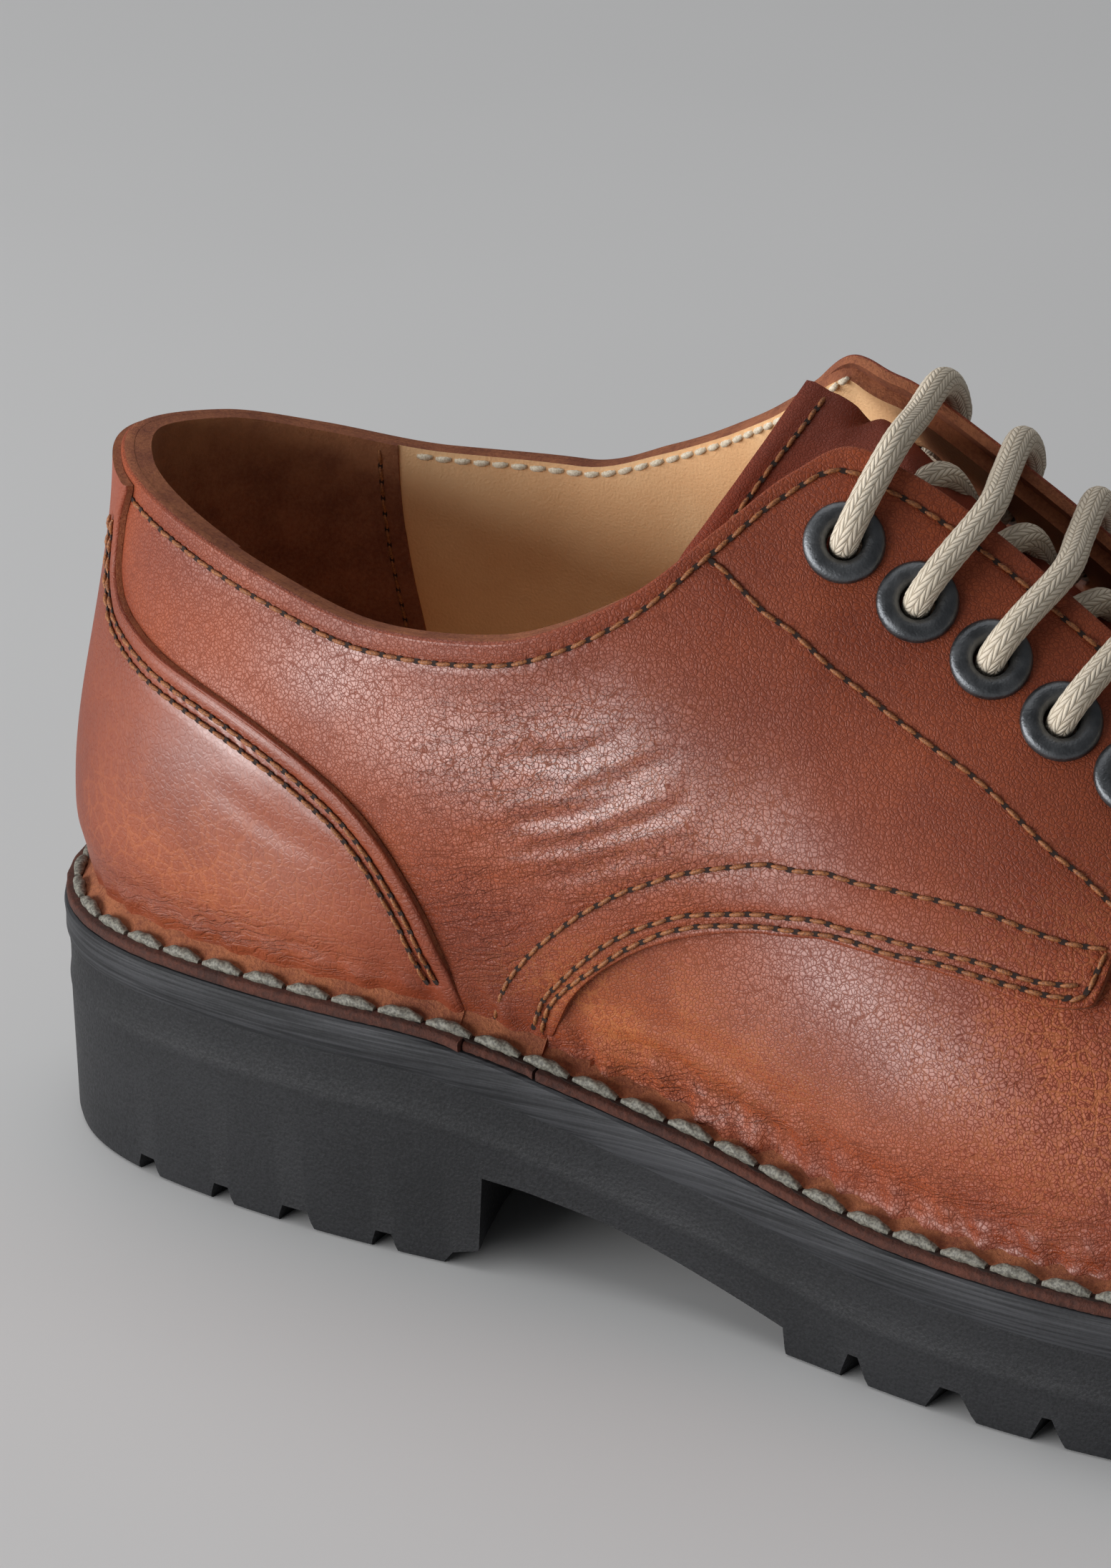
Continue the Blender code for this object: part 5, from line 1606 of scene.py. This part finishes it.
def make_welt_thread():
    line = np.concatenate([welt_line(LATERAL), welt_line(MEDIAL)[::-1][1:-1]])
    ups = np.broadcast_to(np.array([0.0, 0.0, 1.0]), line.shape)
    mids, steps, facings, ends = even_steps(line, ups, sum(WELT_PITCH) / 2)
    stretch = np.linalg.norm(steps, axis=1) / 6.4 * 0.90
    thread = set_row("welt_stitches", mids, steps, facings, stretch, WELT_STITCH, WELT_THREAD)
    place(thread, "ecru_cotton")
    low = ends[:-1] - np.array([0, 0, 0.3])
    holes = set_row("welt_awl_holes", low, steps, facings, np.ones(len(steps)), NEEDLE_HOLE, SHADED_STITCH_HOLE, 2.6)
    place(holes, "brown_leather")


# Tongue and lace.


def tongue_grid():
    """Outer face of the tongue from the throat to its free end, and its normals."""
    rows = tongue_rows(56, TONGUE_DEPTHS)
    lengths = np.linalg.norm(np.diff(rows, axis=0), axis=2).mean(1)
    marks = np.r_[0, np.cumsum(lengths)]
    grid = smooth(marks, rows.reshape(len(rows), -1), np.linspace(0, marks[-1], 74)).reshape(74, -1, 3)
    normals = np.cross(np.gradient(grid, axis=1), np.gradient(grid, axis=0))
    normals /= np.linalg.norm(normals, axis=2)[..., None]
    return grid, normals * np.sign(normals[..., 2:].mean())


def make_tongue():
    outer, normals = tongue_grid()
    lengths = np.linalg.norm(np.diff(outer, axis=0), axis=2)[::-1].cumsum(0)[::-1]
    to_end = np.concatenate([lengths, np.zeros((1, outer.shape[1]))])
    lift = rounded_edge(to_end, 0.6) - 0.2 * np.exp(-(((to_end - TONGUE_ROW) / 0.8) ** 2))
    inner = outer - normals * TONGUE_THICKNESS
    face = outer + normals * lift[..., None]
    values = hide_values(outer.reshape(-1, 3), outer.shape[:2])
    values["dark"] = values["dark"] * 0.3
    piece = sheet("tongue_leather", face, inner, [TONGUE_LEATHER, CUT_EDGE, FLESH_SIDE], values)
    place(piece, "tongue_leather", "tongue")
    pick = (np.argmin(np.abs(to_end - TONGUE_ROW), axis=0), np.arange(outer.shape[1]))
    sew("tongue", [(outer[pick][1:-2], normals[pick][1:-2])], SEAM_THREAD, "tongue_leather")


def through(knots, step):
    """Smooth line through the knots, with a point every step."""
    knots = np.asarray(knots, float)
    marks = np.r_[0, np.cumsum(np.linalg.norm(np.diff(knots, axis=0), axis=1))]
    slope = np.gradient(knots, marks, axis=0)
    at = np.linspace(0, marks[-1], int(marks[-1] / step) + 1)
    i = np.clip(np.searchsorted(marks, at, side="right") - 1, 0, len(marks) - 2)
    h = (marks[i + 1] - marks[i])[:, None]
    t = (at - marks[i])[:, None] / h
    line = (1 + 2 * t) * (1 - t) ** 2 * knots[i] + t * (1 - t) ** 2 * h * slope[i]
    return line + t * t * (3 - 2 * t) * knots[i + 1] + t * t * (t - 1) * h * slope[i + 1]


def bar_knots(ends, edges):
    """A bar: up out of the outer eyelet, over both facings, down into the inner one."""
    up = ends[0][1] + ends[1][1]
    up = up / np.linalg.norm(up)
    halves = []
    for (at, normal), other, bend in ((ends[0], edges[0], OUTER_BEND), (ends[1], edges[1], INNER_BEND)):
        inward = other - at
        inward = inward - normal * inward.dot(normal)
        inward = inward / np.linalg.norm(inward)
        halves.append([at + normal * rise + inward * shift for rise, shift in bend])
    middles = (edges[0], (edges[0] + edges[1]) / 2, edges[1])
    top = [middle + up * rise for middle, rise in zip(middles, BAR_RISES)]
    return halves[0] + top + halves[1][::-1], up


def lace_route():
    """The lace from its hidden end at the top, down inside to the lowest bar, then up bar by bar."""
    rows = eyelet_places()
    ends = [(rows[2 * n][1:], rows[2 * n + 1][1:]) for n in range(5)]
    edges = []
    for number, outer_station, outer_height, inner_station, inner_height in EYELETS:
        pair = [
            over_wall(side, np.array([station + BAR_CROSSINGS[side]]), np.array([0.999]), DEPTHS["quarter"])[0]
            for side, station in ((LATERAL, outer_station), (MEDIAL, inner_station))
        ]
        edges.append(pair)
    inside = over_wall(LATERAL, np.array([10.0, 10.5, 11.1, 11.6, 12.1]), np.full(5, 0.75), -WALL - 2.0)
    knots = [inside[0], inside[1], inside[2], inside[3], inside[4]]
    lower = ends[4][0]
    knots.append(lower[0] - lower[1] * UNDER_LACE)
    for n in (4, 3, 2, 1, 0):
        bar, up = bar_knots(ends[n], edges[n])
        knots += bar
        at, normal = ends[n][1]
        knots.append(at - normal * UNDER_LACE)
        if n:
            at2, normal2 = ends[n - 1][0]
            cross = (edges[n][1] + edges[n - 1][0]) / 2 - up * 3.4
            knots += [cross, at2 - normal2 * UNDER_LACE]
    return through(knots, 0.34)


def make_lace():
    """Braided round cord swept along its route, strands raised on it."""
    path = lace_route()
    forward = np.gradient(path, axis=0)
    forward /= np.linalg.norm(forward, axis=1)[:, None]
    sides = 28
    angle = np.arange(sides) / sides * math.tau
    marks = np.r_[0, np.cumsum(np.linalg.norm(np.diff(path, axis=0), axis=1))]
    first = np.cross(forward[0], (0.0, 0.0, 1.0))
    first /= np.linalg.norm(first)
    rings = []
    for at, ahead, mark in zip(path, forward, marks):
        first = first - ahead * first.dot(ahead)
        first /= np.linalg.norm(first)
        second = np.cross(ahead, first)
        lay = mark * 0.62 * math.pi
        weave = np.abs(np.sin(lay + 3 * angle)) * np.abs(np.sin(lay - 3 * angle))
        radius = LACE_RADIUS * (0.985 + 0.03 * weave)
        rings.append(at + (np.cos(angle) * radius)[:, None] * first + (np.sin(angle) * radius)[:, None] * second)
    rings = np.array(rings)
    piece = new_piece("lace", rings.reshape(-1, 3), tube_faces(len(rings), sides), [COTTON], sharp=80)
    map_cord(piece, marks, sides)
    place(piece, "ecru_cotton", *[f"lace_bar_{number}" for number in range(1, 6)])
    return marks[-1]


def map_cord(piece, marks, sides):
    """Map of the cord: length in millimetres along, once round across."""
    layer = piece.data.uv_layers.new(name="cord")
    for face in piece.data.polygons:
        around = [vertex % sides for vertex in face.vertices]
        wraps = max(around) - min(around) > sides / 2
        for loop, vertex, turn in zip(face.loop_indices, face.vertices, around):
            share = (turn + sides if wraps and turn < sides / 2 else turn) / sides
            layer.data[loop].uv = (marks[vertex // sides], share)


# Sole.


def sole_body(name, rings, materials, sharp=35.0):
    """Solid round the sole outline. Each ring gives its inset and a height for each x."""
    count = 170
    share = (1 - np.cos(np.linspace(0, math.pi, count + 1))) / 2 * 0.35 + np.linspace(0, 1, count + 1) * 0.65
    levels = []
    for inset, height in rings:
        halves = []
        for side in (LATERAL, MEDIAL):
            edge, normal = outline_at(side, share * OUTLINES[side][2][-1])
            halves.append(in_space(edge - normal * inset, height(edge[:, 0])))
        levels.append(np.concatenate([halves[0], halves[1][::-1]]))
    points = np.array(levels)
    round_count = points.shape[1]
    faces = []
    for level in range(len(levels) - 1):
        for c in range(round_count):
            d = (c + 1) % round_count
            first, second = level * round_count, (level + 1) * round_count
            faces.append((first + c, first + d, second + d, second + c))
    for first in (0, (len(levels) - 1) * round_count):
        for c in range(count):
            faces.append((first + c, first + c + 1, first + round_count - 2 - c, first + round_count - 1 - c))
    return new_piece(name, points.reshape(-1, 3), faces, materials, sharp=sharp)


def make_sock():
    inset = FLANGE_WIDTH + WALL + INSOLE_CLEARANCE
    top = GAP + INSOLE
    rings = [
        (inset, lambda x: sole_top(x) + GAP),
        (inset, lambda x: sole_top(x) + top - 0.5),
        (inset + 0.5, lambda x: sole_top(x) + top),
        (inset + 8, lambda x: sole_top(x) + top - 0.3),
    ]
    place(sole_body("sock", rings, [LINING]), "natural_leather", "insole")


def make_midsole():
    rings = [
        (1.1, lambda x: sole_top(x) + 0.02),
        (0.45, lambda x: sole_top(x) - 0.05),
        (0.12, lambda x: sole_top(x) - 0.35),
        (0.0, lambda x: sole_top(x) - 0.9),
        (0.12, lambda x: sole_top(x) - 2.6),
        (0.05, lambda x: sole_top(x) - 4.2),
        (0.22, lambda x: sole_top(x) - MIDSOLE + 0.4),
        (0.38, lambda x: sole_top(x) - MIDSOLE - 0.17),
    ]
    place(sole_body("midsole_rubber", rings, [SIDE_RUBBER]), "black_rubber", "midsole")


def make_outsole():
    under = MIDSOLE + GAP
    rib = under + SIDE_RIB
    rings = [
        (SOLE_STEP + 0.02, lambda x: sole_top(x) - under + 0.11),
        (SOLE_STEP + 0.02, lambda x: sole_top(x) - under - 0.4),
        (SOLE_STEP + 0.12, lambda x: sole_top(x) - under - 2.0),
        (SOLE_STEP + 0.05, lambda x: sole_top(x) - rib + 1.5),
        (SOLE_STEP - 0.10, lambda x: sole_top(x) - rib + 0.5),
        (0.18, lambda x: sole_top(x) - rib - 0.2),
        (0.20, lambda x: sole_top(x) - rib - 0.8),
        (0.30, lambda x: sole_top(x) - rib - 1.8),
        (0.30, lambda x: tread(x) + 1.2),
        (0.5, lambda x: tread(x) + 0.3),
        (0.9, tread),
    ]
    piece = sole_body("outsole_rubber", rings, [TREAD_RUBBER])
    cutters = bpy.data.collections.new("tread_cutters")
    bpy.context.scene.collection.children.link(cutters)
    cut_tread(cutters)
    pierce(piece, cutters)
    for cutter in list(cutters.objects):
        bpy.data.objects.remove(cutter, do_unlink=True)
    bpy.data.collections.remove(cutters)
    finish_mesh(piece.data, 30)
    place(piece, "black_rubber", "outsole")


def block(rings, cutters):
    """Cutter through two or more equal rings."""
    rings = np.asarray(rings)
    count, ring = rings.shape[:2]
    mesh = bpy.data.meshes.new("cutter")
    mesh.from_pydata(to_metres(rings.reshape(-1, 3)).tolist(), [], tube_faces(count, ring))
    finish_mesh(mesh, 30)
    cutters.objects.link(bpy.data.objects.new("cutter", mesh))


def cut_tread(cutters):
    """Arch, edge notches, and long and cross channels."""
    block(arch_rings(), cutters)
    up = np.array([0.0, 0.0, 1.0])
    notches = ((HEEL_NOTCHES, HEEL_TREAD_DEPTH, 9.0), (FOREFOOT_NOTCHES, TREAD_DEPTH, LUG_LENGTH))
    for rows, depth, length in notches:
        for x, low, high in rows:
            for side in (LATERAL, MEDIAL):
                edge, normal = outline_at_x(side, np.array([x]))
                ahead = in_space(np.stack([-normal[:, 1], normal[:, 0]], 1), 0.0)[0]
                out = in_space(normal, 0.0)[0]
                base = in_space(edge, tread(edge[:, 0]))[0]
                below = low / 2 + (low - high) / 2 * 2.0 / depth
                corners = ((-below, -2.0), (below, -2.0), (high / 2, depth), (-high / 2, depth))
                faces = [base + out * reach for reach in (3.0, -length)]
                block([[face + ahead * a + up * z for a, z in corners] for face in faces], cutters)
    for side in (LATERAL, MEDIAL):
        x = np.linspace(121.0, 238.0, 24)
        edge, normal = outline_at_x(side, x)
        walls = [edge - normal * inset for inset in (LUG_LENGTH - 1.0, LUG_LENGTH + 3.0)]
        floor, roof = tread(x) - 2.0, tread(x) + TREAD_DEPTH
        corners = ((0, floor), (1, floor), (1, roof), (0, roof))
        rings = np.stack([in_space(walls[k], level) for k, level in corners], 1)
        block(rings, cutters)
    for x, width in CROSS_CHANNELS:
        edges = [outline_at_x(side, np.array([x])) for side in (LATERAL, MEDIAL)]
        ends = [float((edge - normal * (LUG_LENGTH + 1.0))[0, 1]) for edge, normal in edges]
        level = float(tread(np.array([x]))[0])
        half, roof = width / 2, TREAD_DEPTH - 0.4
        corners = ((-half, -2.0), (half, -2.0), (half, roof), (-half, roof))
        block([[(x + a, end, level + z) for a, z in corners] for end in ends], cutters)


# Stage.


def make_floor():
    mesh = bpy.data.meshes.new("floor")
    size = 4.0
    corners = [(-size, -size, 0), (size, -size, 0), (size, size, 0), (-size, size, 0)]
    mesh.from_pydata(corners, [], [(0, 1, 2, 3)])
    mesh.materials.append(floor_finish("pale_floor"))
    floor = bpy.data.objects.new("floor", mesh)
    bpy.context.scene.collection.objects.link(floor)


def make_camera():
    bearing, height, roll = (math.radians(angle) for angle in (BEARING, HEIGHT_ANGLE, ROLL))
    level = math.cos(height)
    back = Vector((math.sin(bearing) * level, -math.cos(bearing) * level, math.sin(height)))
    right = Vector((math.cos(bearing), math.sin(bearing), 0.0))
    up = back.cross(right)
    across = right * math.cos(roll) + up * math.sin(roll)
    upright = up * math.cos(roll) - right * math.sin(roll)
    lens = bpy.data.cameras.new("camera")
    lens.sensor_fit = "VERTICAL"
    lens.sensor_width = SENSOR
    lens.sensor_height = SENSOR
    lens.lens = FOCAL_PIXELS * SENSOR / FRAME_PIXELS[1]
    lens.clip_start = 0.01
    camera = bpy.data.objects.new("camera", lens)
    aim = Vector(to_metres([AIM])[0])
    turn = Matrix((across, upright, back)).transposed().to_4x4()
    camera.matrix_world = Matrix.Translation(aim + back * DISTANCE * 0.001) @ turn
    bpy.context.scene.collection.objects.link(camera)
    bpy.context.scene.camera = camera


def soft_box(name, direction, distance, size, power, tint=(1.0, 1.0, 1.0)):
    light = bpy.data.lights.new(name, "AREA")
    light.shape = "RECTANGLE"
    light.size, light.size_y = size
    light.energy = power
    light.color = tint
    lamp = bpy.data.objects.new(name, light)
    way = Vector(direction).normalized()
    middle = Vector((-0.03, 0.0, 0.06))
    facing = way.to_track_quat("Z", "Y").to_matrix().to_4x4()
    lamp.matrix_world = Matrix.Translation(middle + way * distance) @ facing
    bpy.context.scene.collection.objects.link(lamp)


def light_stage():
    world = bpy.data.worlds.new("studio")
    bpy.context.scene.world = world
    world.use_nodes = True
    sky = world.node_tree.nodes["Background"]
    sky.inputs["Color"].default_value = (0.95, 0.97, 1.0, 1.0)
    sky.inputs["Strength"].default_value = 0.14
    soft_box("window", (-0.68, -0.73, 0.12), 1.2, (1.6, 0.46), 18.5)
    soft_box("ceiling", (-0.38, 0.14, 1.0), 1.7, (2.0, 2.0), 14.5)
    bpy.context.scene.view_settings.view_transform = "Standard"


def sew_panels():
    for side, label in ((LATERAL, "lateral"), (MEDIAL, "medial")):
        sew(f"quarter_{label}", quarter_seams(side), SEAM_THREAD, "brown_leather")
        sew(f"counter_{label}", counter_seams(side), SEAM_THREAD, "counter_leather")
        rim = collar_line(side, 2.75, 9.0, 1.0, -WALL, -1.0)
        sew(f"lining_{label}", [rim], PALE_THREAD, "natural_leather", 2.6, 1.5, False)
        sew(f"heel_lining_{label}", [heel_seam(side)], SEAM_THREAD, "natural_leather", 2.4, 0.9)


def main():
    make_camera()
    make_floor()
    light_stage()
    holes = hole_cutters()
    make_quarter(LATERAL, "lateral", holes[LATERAL])
    make_quarter(MEDIAL, "medial", holes[MEDIAL])
    make_linings(holes["both"])
    drop_cutters(holes)
    make_counter()
    make_vamp()
    make_flanges()
    make_welt_thread()
    sew_panels()
    make_tongue()
    make_eyelets()
    make_lace()
    make_sock()
    make_midsole()
    make_outsole()


main()
